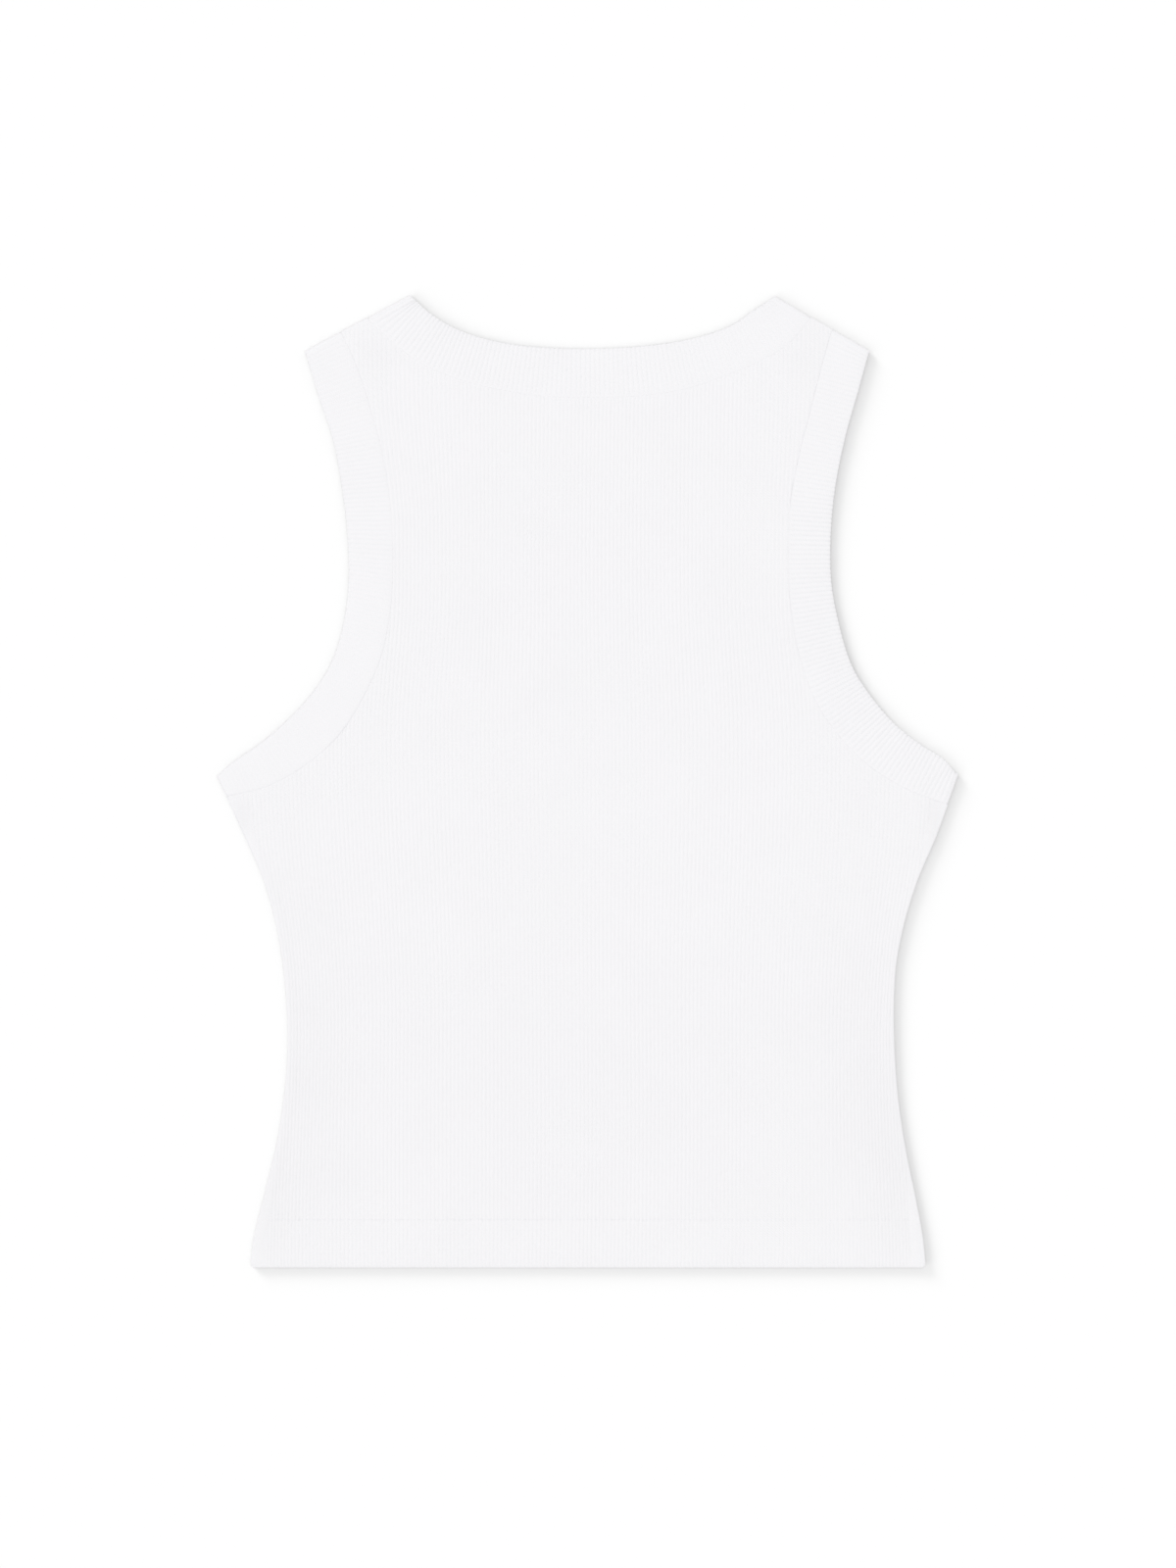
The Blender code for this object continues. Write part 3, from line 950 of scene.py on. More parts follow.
    def build(self, material: bpy.types.Material) -> bpy.types.Object:
        """Make the panel: the relief, the rim and the inside, with its spots of painted shade as an
        attribute.

        Args:
            material: Its finish.

        Returns:
            The panel's object.
        """
        x, height, rib, polygons = self.plan()
        points = to_metres(x, height, self.level(self.relief(x, height, rib)), self.cut.length)
        mesh = shell_mesh(self.name, points, polygons, self.close_inside)
        place = np.empty(len(mesh.vertices) * 3, dtype=np.float32)
        mesh.vertices.foreach_get("co", place)
        uv = place.reshape(-1, 3)[:, :2].astype(float)
        spots = uv / MM + (0.0, self.cut.length / 2)
        uv[:, 0] = self.rib_of(*spots.T) * MM
        painted_shade_map = mesh.attributes.new(SHADE_ATTRIBUTE, "FLOAT", "POINT")
        painted_shade_map.data.foreach_set("value", self.painted_shade(*spots.T).astype(np.float32))
        return finish_piece(self.name, mesh, uv, material, self.sharp)

    def painted_shade(self, x: Array, height: Array) -> Array:
        """How much the cloth's colour is darkened by painted shade at each place: each spot is a bell over an
        oval, times its share.

        Args:
            x: Width from the centre line.
            height: Height above the hem.

        Returns:
            One amount of painted shade a place.
        """
        total = np.zeros(len(x))
        for tone_and_shade in self.shade_spots:
            total += tone_and_shade.share * np.exp(-((x - tone_and_shade.x) / tone_and_shade.half_width)**2
                                         - ((height - tone_and_shade.height) / tone_and_shade.half_height)**2)
        return total


class Run(NamedTuple):
    """Sections of a band, one after another, on one layer or round one fold."""

    seam: Array      # where each section starts, in the middle of the band's thickness
    edge: Array      # where it ends
    normal: Array    # out of the garment
    phase: Array     # count of ribs since the run began
    share: Array     # place along the back of the opening, 0 to 1


@dataclass
class Band:
    """A folded rib band sewn along an opening: a rounded section carried round its closed loop."""

    name: str
    cut: Cut
    folds: tuple[Fold, Fold]
    back: tuple[Array, Array]    # seam and free edge on the back
    front: tuple[Array, Array]   # the same on the front
    squareness: float            # how fully the ribs stand square to the band
    pitch: float = 2.4           # from rib to rib
    depth: float = 0.42          # of the valleys between them
    roundness: float = 0.6       # below 1 the ribs are fuller and their valleys narrower
    rib_points: int = 6          # sections for each rib
    fold_ribs: int = 2           # ribs that lie in the bend of a fold
    puff: float = 0.14           # how much fuller the band is in its middle
    sag: float = 0.4             # how far the free edge hangs down in the middle of the back
    edge_round: float = 0.35     # how far the pressed free edge rounds out
    seam_reach: float = 2.2      # the band comes down to its seam over this width
    seam_ease: float = 0.0       # share of that fall which eases out, where the rest rounds over
    seam_turn: float = 80.0      # degrees of an ellipse that the rounded part goes through
    seam_points: int = 6
    top_shares: tuple[float, ...] = (0.12, 0.3, 0.5, 0.7, 0.88)   # places of the top's points
    edge_points: int = 10        # points round the free edge
    grooves: Pairs = ((0.0, 0.2), (1.0, 0.2))   # how far it comes down at the seam, along the back
    relief: Pairs = ((0.0, 1.0), (1.0, 1.0))    # share of the ribs' depth, along the back
    square_reach: float = 0.12   # share of the length within which a squared rib's end is looked for
    end_blend: float = 0.05      # share of the length over which the ribs turn parallel to a fold
    samples: int = 2000          # points at which a squared rib's end is looked for
    sharp: float = 75.0          # edges that bend more degrees are drawn sharp

    def squared_shares(self, curve: Array, shares: Array, centre: Array, heading: Array) -> Array:
        """Share of a curve at which the line through each centre, square to its heading, meets it.

        For each centre the curve's points are measured along the heading; the share is where that
        measure is nearest to nothing, corrected by its slope there.

        Args:
            curve: The curve's points, one a row.
            shares: Where each line is looked for.
            centre: A point of each line.
            heading: The direction that each line stands square to.

        Returns:
            One share a line.
        """
        fine = np.linspace(0.0, 1.0, self.samples)
        ahead = (along(curve, fine)[None] - centre[:, None]) @ heading[:, :, None]
        ahead = ahead[:, :, 0]
        near = np.abs(fine[None] - shares[:, None]) <= self.square_reach
        best = np.argmin(np.where(near, np.abs(ahead), np.inf), axis=1)
        rows = np.arange(len(shares))
        slope = np.gradient(ahead, fine, axis=1)[rows, best]
        step = np.where(np.abs(slope) > NO_SLOPE, ahead[rows, best] / slope, 0.0)
        most = 2.0 / self.samples   # the way to the next sample but one
        return np.clip(fine[best] - np.clip(step, -most, most), 0.0, 1.0)

    def rib_lines(self, seam: Array, edge: Array, count: int) -> tuple[Array, Array]:
        """Where the sections start at the seam and end at the free edge.

        They are evenly spaced and square to the middle of the band, as far as the squareness says, and
        turn parallel to the folds near the ends.

        Args:
            seam: The seam's points, one a row.
            edge: The free edge's.
            count: Number of sections.

        Returns:
            The sections' points at the seam and at the free edge.
        """
        shares = np.linspace(0.0, 1.0, count)
        middle = (along(seam, shares) + along(edge, shares)) / 2
        heading = np.gradient(middle, axis=0)
        heading /= np.linalg.norm(heading, axis=1)[:, None]
        blend = self.squareness * smoothstep(np.minimum(shares, 1.0 - shares) / self.end_blend)
        squared = [self.squared_shares(curve, shares, middle, heading) for curve in (seam, edge)]
        start, end = (along(curve, shares + (found - shares) * blend)
                      for curve, found in zip((seam, edge), squared))
        return start, end

    def flat_run(self, seam: Array, edge: Array, upper: bool) -> Run:
        """The sections along one layer, without its last one; the back's free edge sags in its middle.

        Args:
            seam: The seam's points, one a row.
            edge: The free edge's.
            upper: Whether this is the back's layer.

        Returns:
            The run.
        """
        ribs = round((curve_length(seam) + curve_length(edge)) / 2 / self.pitch)
        count = ribs * self.rib_points
        start, end = self.rib_lines(seam, edge, count + 1)
        share = np.linspace(0.0, 1.0, count + 1)
        level = np.full(count + 1, self.cut.back_level + self.cut.band / 2 if upper else self.cut.band / 2)
        hang = self.sag * np.sin(math.pi * share)**2 * upper
        normal = np.tile([0.0, 0.0, 1.0 if upper else -1.0], (count + 1, 1))
        phase = np.arange(count + 1) / self.rib_points
        parts = (np.column_stack([start, level]), np.column_stack([end, level - hang]), normal, phase,
                 share if upper else 1.0 - share)
        return Run(*(part[:-1] for part in parts))

    def fold_run(self, fold: Fold, downwards: bool) -> Run:
        """The sections round a fold: half a turn about the line midway between the layers.

        Args:
            fold: Where the band turns over.
            downwards: Whether it goes from the back to the front.

        Returns:
            The run.
        """
        count = self.fold_ribs * self.rib_points
        turn = np.linspace(0.0, math.pi, count + 1)[:-1, None]
        phase = np.arange(count) / self.rib_points
        if not downwards:
            turn = math.pi - turn
        outward = np.append(fold.outward, 0.0)
        up = np.array([0.0, 0.0, 1.0])
        normal = outward * np.sin(turn) + up * np.cos(turn)
        shift = normal * self.cut.fold_radius + up * self.cut.top_level / 2
        share = np.full(count, 1.0 if downwards else 0.0)
        return Run(np.append(fold.seam, 0.0) + shift, np.append(fold.edge, 0.0) + shift, normal, phase, share)

    def section(self, width: Array, puff: Array, groove: Array) -> tuple[Array, Array, Array, Array]:
        """The band's section at each place.

        From the seam's foot it rises to the top, by a quarter of an ellipse mixed with an easing
        curve, crosses with a slight puff, turns half an ellipse round the free edge and comes back
        along the inside.

        Args:
            width: Width of the band at each section.
            puff: Extra fullness of its middle there.
            groove: How far it comes down at the seam there.

        Returns:
            Distance from the seam and lift over the middle of the thickness for each section and
            corner, then for each corner the direction of its normal and how much rib it carries.
        """
        half = self.cut.band / 2
        width = width[:, None]
        ones = np.ones_like(width)
        bend = np.radians(np.linspace(0.0, self.seam_turn, self.seam_points))
        seam_across = self.seam_reach * (1.0 - np.cos(bend)) * ones
        rounded = 1.0 - np.sin(bend)
        eased = 1.0 - smoothstep(1.0 - np.cos(bend))
        seam_lift = half - groove[:, None] * (rounded + (eased - rounded) * self.seam_ease)
        shares = np.array(self.top_shares)
        outer = width - self.edge_round
        top_across = self.seam_reach + (outer - self.seam_reach) * shares
        top_lift = half + puff[:, None] * np.sin(math.pi * shares)
        arc = np.radians(np.linspace(90.0, -90.0, self.edge_points))
        across = np.hstack([0.0 * ones, seam_across, top_across, outer + self.edge_round * np.cos(arc),
                            0.5 * width])
        lift = np.hstack([-half * ones, seam_lift, top_lift, half * np.sin(arc) * ones, -half * ones])
        upwards = np.full(len(shares), math.pi / 2)
        direction = np.concatenate([[math.pi], math.pi - bend, upwards, arc, [-math.pi / 2]])
        rib = np.concatenate([[0.0], smoothstep(bend / bend[-1]), np.ones(len(shares)),
                              smoothstep(np.sin(arc) + 1.0), [0.0]])
        return across, lift, direction, rib

    def build(self, material: bpy.types.Material) -> bpy.types.Object:
        """Make the band: back layer, far fold, front layer, near fold, closed on itself.

        Each point is sunk along its normal by the ribs' valleys: their depth times one less a power
        of half a sine over each rib.

        Args:
            material: Its finish.

        Returns:
            The band's object.
        """
        runs = [
            self.flat_run(*self.back, upper=True),
            self.fold_run(self.folds[1], downwards=True),
            self.flat_run(self.front[0][::-1], self.front[1][::-1], upper=False),
            self.fold_run(self.folds[0], downwards=False),
        ]
        seam, edge, normal, phase, share = (np.concatenate(parts) for parts in zip(*runs))
        laps = np.cumsum([0.0] + [len(run.phase) / self.rib_points for run in runs[:-1]])
        travelled = np.concatenate([run.phase + lap for run, lap in zip(runs, laps)])
        width = np.linalg.norm(edge - seam, axis=1)
        heading = (edge - seam) / width[:, None]
        groove = np.interp(share, *zip(*self.grooves))
        across, lift, direction, rib = self.section(width, self.puff * smoothstep(normal[:, 2]), groove)
        valley = self.depth * (1.0 - np.abs(np.sin(math.pi * phase))**self.roundness)
        sink = (valley * np.interp(share, *zip(*self.relief)))[:, None] * rib
        across = across - sink * np.cos(direction)
        lift = lift - sink * np.sin(direction)
        points = seam[:, None] + heading[:, None] * across[:, :, None] + normal[:, None] * lift[:, :, None]
        mesh = shell_mesh(self.name, to_metres(*points.reshape(-1, 3).T, self.cut.length),
                          ring_faces(*across.shape).tolist())
        steps = np.linalg.norm(np.diff(np.stack([across, lift], axis=2), axis=1), axis=2)
        reach = np.hstack([np.zeros((len(steps), 1)), np.cumsum(steps, axis=1)])
        uv = np.stack([np.broadcast_to(travelled[:, None] * self.pitch, across.shape), reach], axis=2)
        piece = finish_piece(self.name, mesh, uv.reshape(-1, 2) * MM, material, self.sharp)
        self.join_map(mesh, across.shape[1], travelled[-1] * self.pitch * MM)
        return piece

    def join_map(self, mesh: bpy.types.Mesh, corners: int, length: float) -> None:
        """Let the pattern run on where the last section meets the first one.

        There, the first section's share of the map is moved on by the whole length of the loop.

        Args:
            mesh: The band's mesh, whose first section is its first points.
            corners: Points in a section.
            length: How far the map reaches at the last section, in metres.
        """
        layer = mesh.uv_layers["knit"].data
        uv = np.empty(len(layer) * 2, dtype=np.float32)
        layer.foreach_get("uv", uv)
        uv = uv.reshape(-1, 2)
        corner = np.empty(len(layer), dtype=np.int64)
        mesh.loops.foreach_get("vertex_index", corner)
        first = corner < corners
        far = (uv[:, 0] > length / 2).reshape(-1, 4).any(axis=1).repeat(4)
        step = self.pitch / self.rib_points * MM
        uv[first & far, 0] = length + step
        layer.foreach_set("uv", uv.ravel())


@dataclass
class CoverStitch:
    """The row of stitches that holds a panel's hem: short threads that dip into the cloth at both ends."""

    name: str
    panel: Panel
    stitch: float = 3.0          # from one needle hole to the next
    thread: float = 0.3          # thickness of the thread
    visible: float = 0.86        # share of a stitch that lies on the cloth
    rise: float = 0.05           # how far the middle of a stitch stands over its ends
    sink: float = 0.05           # how deep its ends lie in the cloth
    margin: float = 5.0          # from a side seam to the first stitch
    rings: int = 5               # rings of points between its ends
    corners: int = 6             # points of a ring
    sharp: float = 80.0          # edges that bend more degrees are drawn sharp

    def build(self, material: bpy.types.Material) -> bpy.types.Object:
        """Make the row: each stitch is a spindle, thin at its ends, bowed up in its middle.

        Its thickness is that of the thread times the square root of half a sine along it.

        Args:
            material: The thread's finish.

        Returns:
            The row's object.
        """
        cut = self.panel.cut
        height = cut.hem_depth
        left, right = (np.interp(height, seam[:, 1], seam[:, 0]) for seam in self.panel.side_seams.values())
        count = int((right - left - 2 * self.margin) / self.stitch)
        first = (left + right - count * self.stitch) / 2
        middle = first + (np.arange(count) + 0.5) * self.stitch
        share = np.linspace(0.0, 1.0, self.rings + 2)
        bow = np.sqrt(np.maximum(np.sin(math.pi * share), 0.0))
        turn = np.arange(self.corners) / self.corners * 2.0 * math.pi
        x = middle[:, None, None] + (share[None, :, None] - 0.5) * self.stitch * self.visible
        x = np.broadcast_to(x, (count, self.rings + 2, self.corners))
        radius = self.thread / 2 * bow[None, :, None]
        y = np.broadcast_to(height + radius * np.cos(turn), x.shape)
        lift = self.panel.base(x.ravel(), np.full(x.size, height)).reshape(x.shape)
        lift = lift + self.rise * bow[None, :, None] - self.sink + radius * np.sin(turn)
        rings = to_metres(x, y, self.panel.level(lift), cut.length).reshape(*x.shape, 3)
        poles = rings[:, [0, -1], 0]
        body = rings[:, 1:-1].reshape(count, -1, 3)
        points = np.concatenate([poles, body], axis=1).reshape(-1, 3)
        mesh = shell_mesh(self.name, points, self.stitch_faces(count))
        return finish_piece(self.name, mesh, points[:, :2], material, self.sharp)

    def stitch_faces(self, count: int) -> list[list[int]]:
        """Faces of all stitches: two fans at the ends of each and bands of four-cornered faces between.

        Args:
            count: Number of stitches.

        Returns:
            Corner indices of each face.
        """
        corner = np.arange(self.corners)
        after = np.roll(corner, -1)
        ring = 2 + np.arange(self.rings - 1)[:, None] * self.corners
        bands = np.stack([ring + corner, ring + after, ring + self.corners + after,
                          ring + self.corners + corner], axis=2).reshape(-1, 4)
        last = 2 + (self.rings - 1) * self.corners
        fans = np.vstack([np.column_stack([np.zeros_like(corner), 2 + after, 2 + corner]),
                          np.column_stack([np.ones_like(corner), last + corner, last + after])])
        start = (np.arange(count) * (2 + self.rings * self.corners))[:, None, None]
        return (start + bands).reshape(-1, 4).tolist() + (start + fans).reshape(-1, 3).tolist()


# ---------------------------------------------------------------------------------------------------
# Finishes
# ---------------------------------------------------------------------------------------------------

def linear(hex_colour: str) -> tuple[float, float, float, float]:
    """Linear RGBA of an sRGB hex colour.

    Args:
        hex_colour: The colour, with its leading hash.

    Returns:
        Red, green and blue, and one for the last.
    """
    values = [int(hex_colour[place:place + 2], 16) / 255.0 for place in (1, 3, 5)]
    red, green, blue = (v / 12.92 if v <= 0.04045 else ((v + 0.055) / 1.055)**2.4 for v in values)
    return red, green, blue, 1.0


def fill_inputs(tree: bpy.types.NodeTree, node: bpy.types.Node, *values: object, **inputs: object) -> None:
    """Give a node's inputs their values and links.

    Args:
        tree: The node tree.
        node: The node.
        *values: A value or a socket for each of its first inputs.
        **inputs: The same for an input by its name, with underscores for spaces, or by its number
            after the word slot.
    """
    for key, value in [*enumerate(values), *inputs.items()]:
        if isinstance(key, str):
            key = int(key[4:]) if key.startswith("slot") else key.replace("_", " ")
        if isinstance(value, bpy.types.NodeSocket):
            tree.links.new(value, node.inputs[key])
        else:
            node.inputs[key].default_value = value


def add_node(tree: bpy.types.NodeTree, kind: str, settings: dict[str, object] | None = None,
             *values: object, **inputs: object) -> bpy.types.Node:
    """Add a node with its settings and inputs.

    Args:
        tree: The node tree.
        kind: The node's type, without its leading word ShaderNode.
        settings: Attributes to set on the node.
        *values: A value or a socket for each of its first inputs.
        **inputs: The same by name or by number, as fill_inputs takes them.

    Returns:
        The new node.
    """
    node = tree.nodes.new(f"ShaderNode{kind}")
    for attribute, value in (settings or {}).items():
        setattr(node, attribute, value)
    fill_inputs(tree, node, *values, **inputs)
    return node


def new_material(name: str) -> tuple[bpy.types.Material, bpy.types.NodeTree, bpy.types.Node]:
    """A material with an empty tree but for its shader and output.

    Args:
        name: The material's name.

    Returns:
        The material, its tree and its shader.
    """
    material = bpy.data.materials.new(name)
    material.use_nodes = True
    tree = material.node_tree
    return material, tree, tree.nodes["Principled BSDF"]


@dataclass(frozen=True)
class CottonRib:
    """Combed cotton 1x1 rib, knitted and bleached white: matt, faintly fuzzy, with painted shade that makes
    its valleys a touch darker and cooler.
    """

    name: str
    colour: str                  # of the ribs' crests
    valley: str                  # painted shade: the colour deep between the ribs, a touch darker and cooler than the crests
    pitch: float                 # from rib to rib, in millimetres
    valley_shade_from: float = 0.45    # share of the way from a crest down, where the valley's painted shade begins
    course: float = 1.25         # height of one stitch; the real 0.9 mm would not show
    slant: float = 0.8           # courses that a stitch's legs climb from crest to valley
    stitch_depth: float = 0.035
    fuzz: float = 0.35           # size of the fibres' tangle
    fuzz_depth: float = 0.02
    mottle: float = 28.0         # size of the faint unevenness of the cloth
    mottle_share: float = 0.012
    noise_range: Pair = (0.25, 0.75)   # most of a noise lies between these
    roughness: float = 0.92
    sheen: float = 0.12
    sheen_roughness: float = 0.5

    def make(self) -> bpy.types.Material:
        """Build the finish from the piece's knit map and its own coordinates.

        The distance from the crest is twice that of the rib's phase from a half. A stitch is a V: the
        phase of its wave rises along the rib and falls with that distance. The valley's colour, which is
        painted shade, follows the distance too. Two noises add mottling and fuzz.

        Returns:
            The material.
        """
        material, tree, shader = new_material(self.name)
        knit = add_node(tree, "UVMap", {"uv_map": "knit"}).outputs["UV"]
        place = add_node(tree, "TexCoord").outputs["Object"]
        off_crest, course = add_node(tree, "SeparateXYZ", Vector=knit).outputs[:2]
        for step, *numbers in (("DIVIDE", self.pitch * MM), ("FRACT",), ("SUBTRACT", 0.5), ("ABSOLUTE",),
                               ("MULTIPLY", 2.0)):
            off_crest = add_node(tree, "Math", {"operation": step}, off_crest, *numbers).outputs[0]
        course = add_node(tree, "Math", {"operation": "DIVIDE"}, course, self.course * MM).outputs[0]
        stitch = off_crest
        for step, *numbers in (("MULTIPLY_ADD", -self.slant, course), ("MULTIPLY", 2.0 * math.pi), ("SINE",)):
            stitch = add_node(tree, "Math", {"operation": step}, stitch, *numbers).outputs[0]
        mottle = add_node(tree, "TexNoise", Vector=place, Scale=1.0 / (self.mottle * MM), Detail=3.0)
        fuzz = add_node(tree, "TexNoise", Vector=place, Scale=1.0 / (self.fuzz * MM), Detail=2.0)
        # painted shade: the colour turns a touch darker and cooler towards the valleys
        valley_shade = add_node(tree, "MapRange", {"interpolation_type": "SMOOTHSTEP"}, Value=off_crest,
                        From_Min=self.valley_shade_from, From_Max=1.0)
        cloth = add_node(tree, "Mix", {"data_type": "RGBA"}, valley_shade.outputs["Result"],
                         slot6=linear(self.colour), slot7=linear(self.valley))
        shade = add_node(tree, "MapRange", Value=mottle.outputs["Fac"], From_Min=self.noise_range[0],
                         From_Max=self.noise_range[1], To_Min=1.0 - self.mottle_share, To_Max=1.0)
        # painted shade from the piece's attribute darkens the colour, together with the random mottling
        painted_shade_map = add_node(tree, "Attribute", {"attribute_name": SHADE_ATTRIBUTE}).outputs["Fac"]
        tone_and_shade = add_node(tree, "Math", {"operation": "SUBTRACT"}, shade.outputs["Result"], painted_shade_map)
        tint = add_node(tree, "Mix", {"data_type": "RGBA", "blend_type": "MULTIPLY"}, 1.0,
                        slot6=cloth.outputs[2], slot7=tone_and_shade.outputs[0])
        knots = add_node(tree, "Bump", Strength=1.0, Distance=self.stitch_depth * MM, Height=stitch)
        bump = add_node(tree, "Bump", Strength=1.0, Distance=self.fuzz_depth * MM,
                        Height=fuzz.outputs["Fac"], Normal=knots.outputs["Normal"])
        fill_inputs(tree, shader, Base_Color=tint.outputs[2], Normal=bump.outputs["Normal"],
                    Roughness=self.roughness, Sheen_Weight=self.sheen, Sheen_Roughness=self.sheen_roughness)
        return material


@dataclass(frozen=True)
class SewingThread:
    """Spun polyester sewing thread, white: a little smoother than the cloth, with a fine twist."""

    name: str = "sewing_thread"
    colour: str = "#F0F0F2"
    ply_shade: str = "#EBEBEE"      # painted shade between its plies
    twist: float = 0.5           # length of one turn of the ply; the real 0.3 mm would not show
    wobble: float = 0.4          # how uneven the turns are
    ply_depth: float = 0.05
    ply_strength: float = 0.6    # share of that depth that the light sees
    roughness: float = 0.7

    def make(self) -> bpy.types.Material:
        """Build the finish: the two plies of the twist are a wave along the thread, whose colour paints shade
        between them.

        Returns:
            The material.
        """
        material, tree, shader = new_material(self.name)
        place = add_node(tree, "TexCoord").outputs["Object"]
        ply = add_node(tree, "TexWave", Vector=place, Scale=0.5 / (self.twist * MM), Distortion=self.wobble)
        # painted shade: the colour darkens between the plies
        cloth = add_node(tree, "Mix", {"data_type": "RGBA"}, ply.outputs["Fac"],
                         slot6=linear(self.ply_shade), slot7=linear(self.colour))
        bump = add_node(tree, "Bump", Strength=self.ply_strength, Distance=self.ply_depth * MM,
                        Height=ply.outputs["Fac"])
        fill_inputs(tree, shader, Base_Color=cloth.outputs[2], Normal=bump.outputs["Normal"],
                    Roughness=self.roughness)
        return material


@dataclass(frozen=True)
class LightTable:
    """Cast opal acrylic, satin-matt and softly lit from below: an even white with a barely visible grain."""

    name: str = "opal_acrylic"
    colour: str = "#BDBDBD"      # of the sheet when it is not lit from below
    light: str = "#FFFFFF"       # of the lamps under it
    glow: float = 0.19
    tooth: float = 1.5           # size of the grain
    tooth_depth: float = 0.02
    tooth_strength: float = 0.1  # share of that depth that the light sees
    roughness: float = 0.95

    def make(self) -> bpy.types.Material:
        """Build the finish: a flat colour over a fine noise in the bump.

        Returns:
            The material.
        """
        material, tree, shader = new_material(self.name)
        place = add_node(tree, "TexCoord").outputs["Object"]
        grain = add_node(tree, "TexNoise", Vector=place, Scale=1.0 / (self.tooth * MM), Detail=2.0)
        bump = add_node(tree, "Bump", Strength=self.tooth_strength, Distance=self.tooth_depth * MM,
                        Height=grain.outputs["Fac"])
        fill_inputs(tree, shader, Base_Color=linear(self.colour), Normal=bump.outputs["Normal"],
                    Emission_Color=linear(self.light), Emission_Strength=self.glow,
                    Roughness=self.roughness, Specular_IOR_Level=0.0)
        return material


# ---------------------------------------------------------------------------------------------------
# Studio
# ---------------------------------------------------------------------------------------------------

class Lamp(NamedTuple):
    """A distant soft light: where it stands, how wide it looks, how strong it is and what it lights."""

    name: str
    azimuth: float      # degrees anticlockwise from +X
    elevation: float
    spread: float       # apparent width in degrees
    strength: float
    floor_only: bool    # it lights the floor alone, and draws the garment's shadow there


@dataclass
class Studio:
    """Floor, soft light and the camera straight above. Lengths are in metres, but for the camera's own."""

    floor_half: float = 30.0
    floor_drop: float = 0.0001   # how far the floor lies below the garment's underside
    floor_lines: int = 5         # lines of its net in each direction
    ambient: float = 0.8
    lens: float = 100.0          # millimetres
    sensor: float = 36.0         # its long side, in millimetres
    view_height: float = 0.8     # length that the long side takes in
    view_plane: float = 0.0025   # level at which that is measured
    centre: Pair = (0.0002, -0.0015)   # what the camera stands over
    lamps: tuple[Lamp, ...] = (
        Lamp("left_shadow", 212.0, 33.0, 38.0, 0.72, True),
        Lamp("corner_shadow", 132.0, 21.0, 23.0, 1.943, True),
        Lamp("contact_shadow", 90.0, 90.0, 120.0, 0.409, True),
        Lamp("overhead", 90.0, 90.0, 60.0, 0.87, False),
        Lamp("window", 150.0, 27.0, 30.0, 0.3, False),
    )

    def build(self) -> None:
        """Make the floor, the lights, the world and the camera."""
        floor = self.build_floor()
        for lamp in self.lamps:
            self.build_lamp(lamp, floor)
        self.build_world()
        self.build_camera()
        bpy.context.scene.view_settings.view_transform = "Standard"

    def build_floor(self) -> bpy.types.Object:
        """A wide light table under the garment.

        Returns:
            The floor's object.
        """
        side = np.linspace(-self.floor_half, self.floor_half, self.floor_lines)
        x, y = np.meshgrid(side, side)
        points = np.column_stack([x.ravel(), y.ravel(), np.full(x.size, -self.floor_drop)])
        mesh = bpy.data.meshes.new("floor")
        line = np.arange(self.floor_lines)
        mesh.from_pydata(points.tolist(), [], net_faces(line, line, self.floor_lines).tolist())
        mesh.materials.append(LightTable().make())
        floor = bpy.data.objects.new("floor", mesh)
        bpy.context.scene.collection.objects.link(floor)
        return floor

    def build_lamp(self, lamp: Lamp, floor: bpy.types.Object) -> None:
        """A distant lamp that shines on everything, or on the floor alone.

        Args:
            lamp: The lamp.
            floor: The floor's object.
        """
        data = bpy.data.lights.new(lamp.name, "SUN")
        data.energy = lamp.strength
        data.angle = math.radians(lamp.spread)
        light = bpy.data.objects.new(lamp.name, data)
        light.rotation_euler = (math.radians(90.0 - lamp.elevation), 0.0, math.radians(lamp.azimuth + 90.0))
        bpy.context.scene.collection.objects.link(light)
        if lamp.floor_only:
            lit = bpy.data.collections.new(f"{lamp.name}_receivers")
            lit.objects.link(floor)
            light.light_linking.receiver_collection = lit

    def build_world(self) -> None:
        """Even white light from all round."""
        world = bpy.data.worlds.new("studio")
        world.use_nodes = True
        background = world.node_tree.nodes["Background"]
        background.inputs["Color"].default_value = (1.0, 1.0, 1.0, 1.0)
        background.inputs["Strength"].default_value = self.ambient
        bpy.context.scene.world = world

    def build_camera(self) -> None:
        """A long lens straight above, whose long side runs along the garment."""
        data = bpy.data.cameras.new("camera")
        data.lens = self.lens
        data.sensor_width = self.sensor
        camera = bpy.data.objects.new("camera", data)
        distance = self.view_height * self.lens / self.sensor
        camera.location = (*self.centre, self.view_plane + distance)
        bpy.context.scene.collection.objects.link(camera)
        bpy.context.scene.camera = camera


# ---------------------------------------------------------------------------------------------------
# The garment
# ---------------------------------------------------------------------------------------------------

BACK_CREASES = (
    Crease(-150.0, 262.0, -108.0, 226.0, 11.0, 0.3),
    Crease(-136.0, 282.0, -96.0, 248.0, 9.0, -0.25),
    Crease(150.0, 258.0, 112.0, 214.0, 13.0, 0.25),
    Crease(-179.0, 234.0, -173.0, 220.0, 4.0, -0.3),
    Crease(179.0, 236.0, 170.0, 212.0, 4.5, -0.3),
    Crease(-148.0, 118.0, -122.0, 88.0, 12.0, -0.25),
    Crease(-141.0, 60.0, -112.0, 46.0, 12.0, -0.3),
    Crease(150.0, 96.0, 143.0, 66.0, 12.0, -0.25),
    Crease(-30.0, 300.0, 8.0, 290.0, 16.0, -0.2),
    Crease(60.0, 180.0, 92.0, 120.0, 18.0, 0.2),
    Crease(-70.0, 170.0, -52.0, 110.0, 20.0, 0.18),
    Crease(-161.5, 28.0, -163.5, 12.0, 1.0, -0.12),
    Crease(163.5, 27.0, 165.0, 12.0, 1.0, -0.1),
)
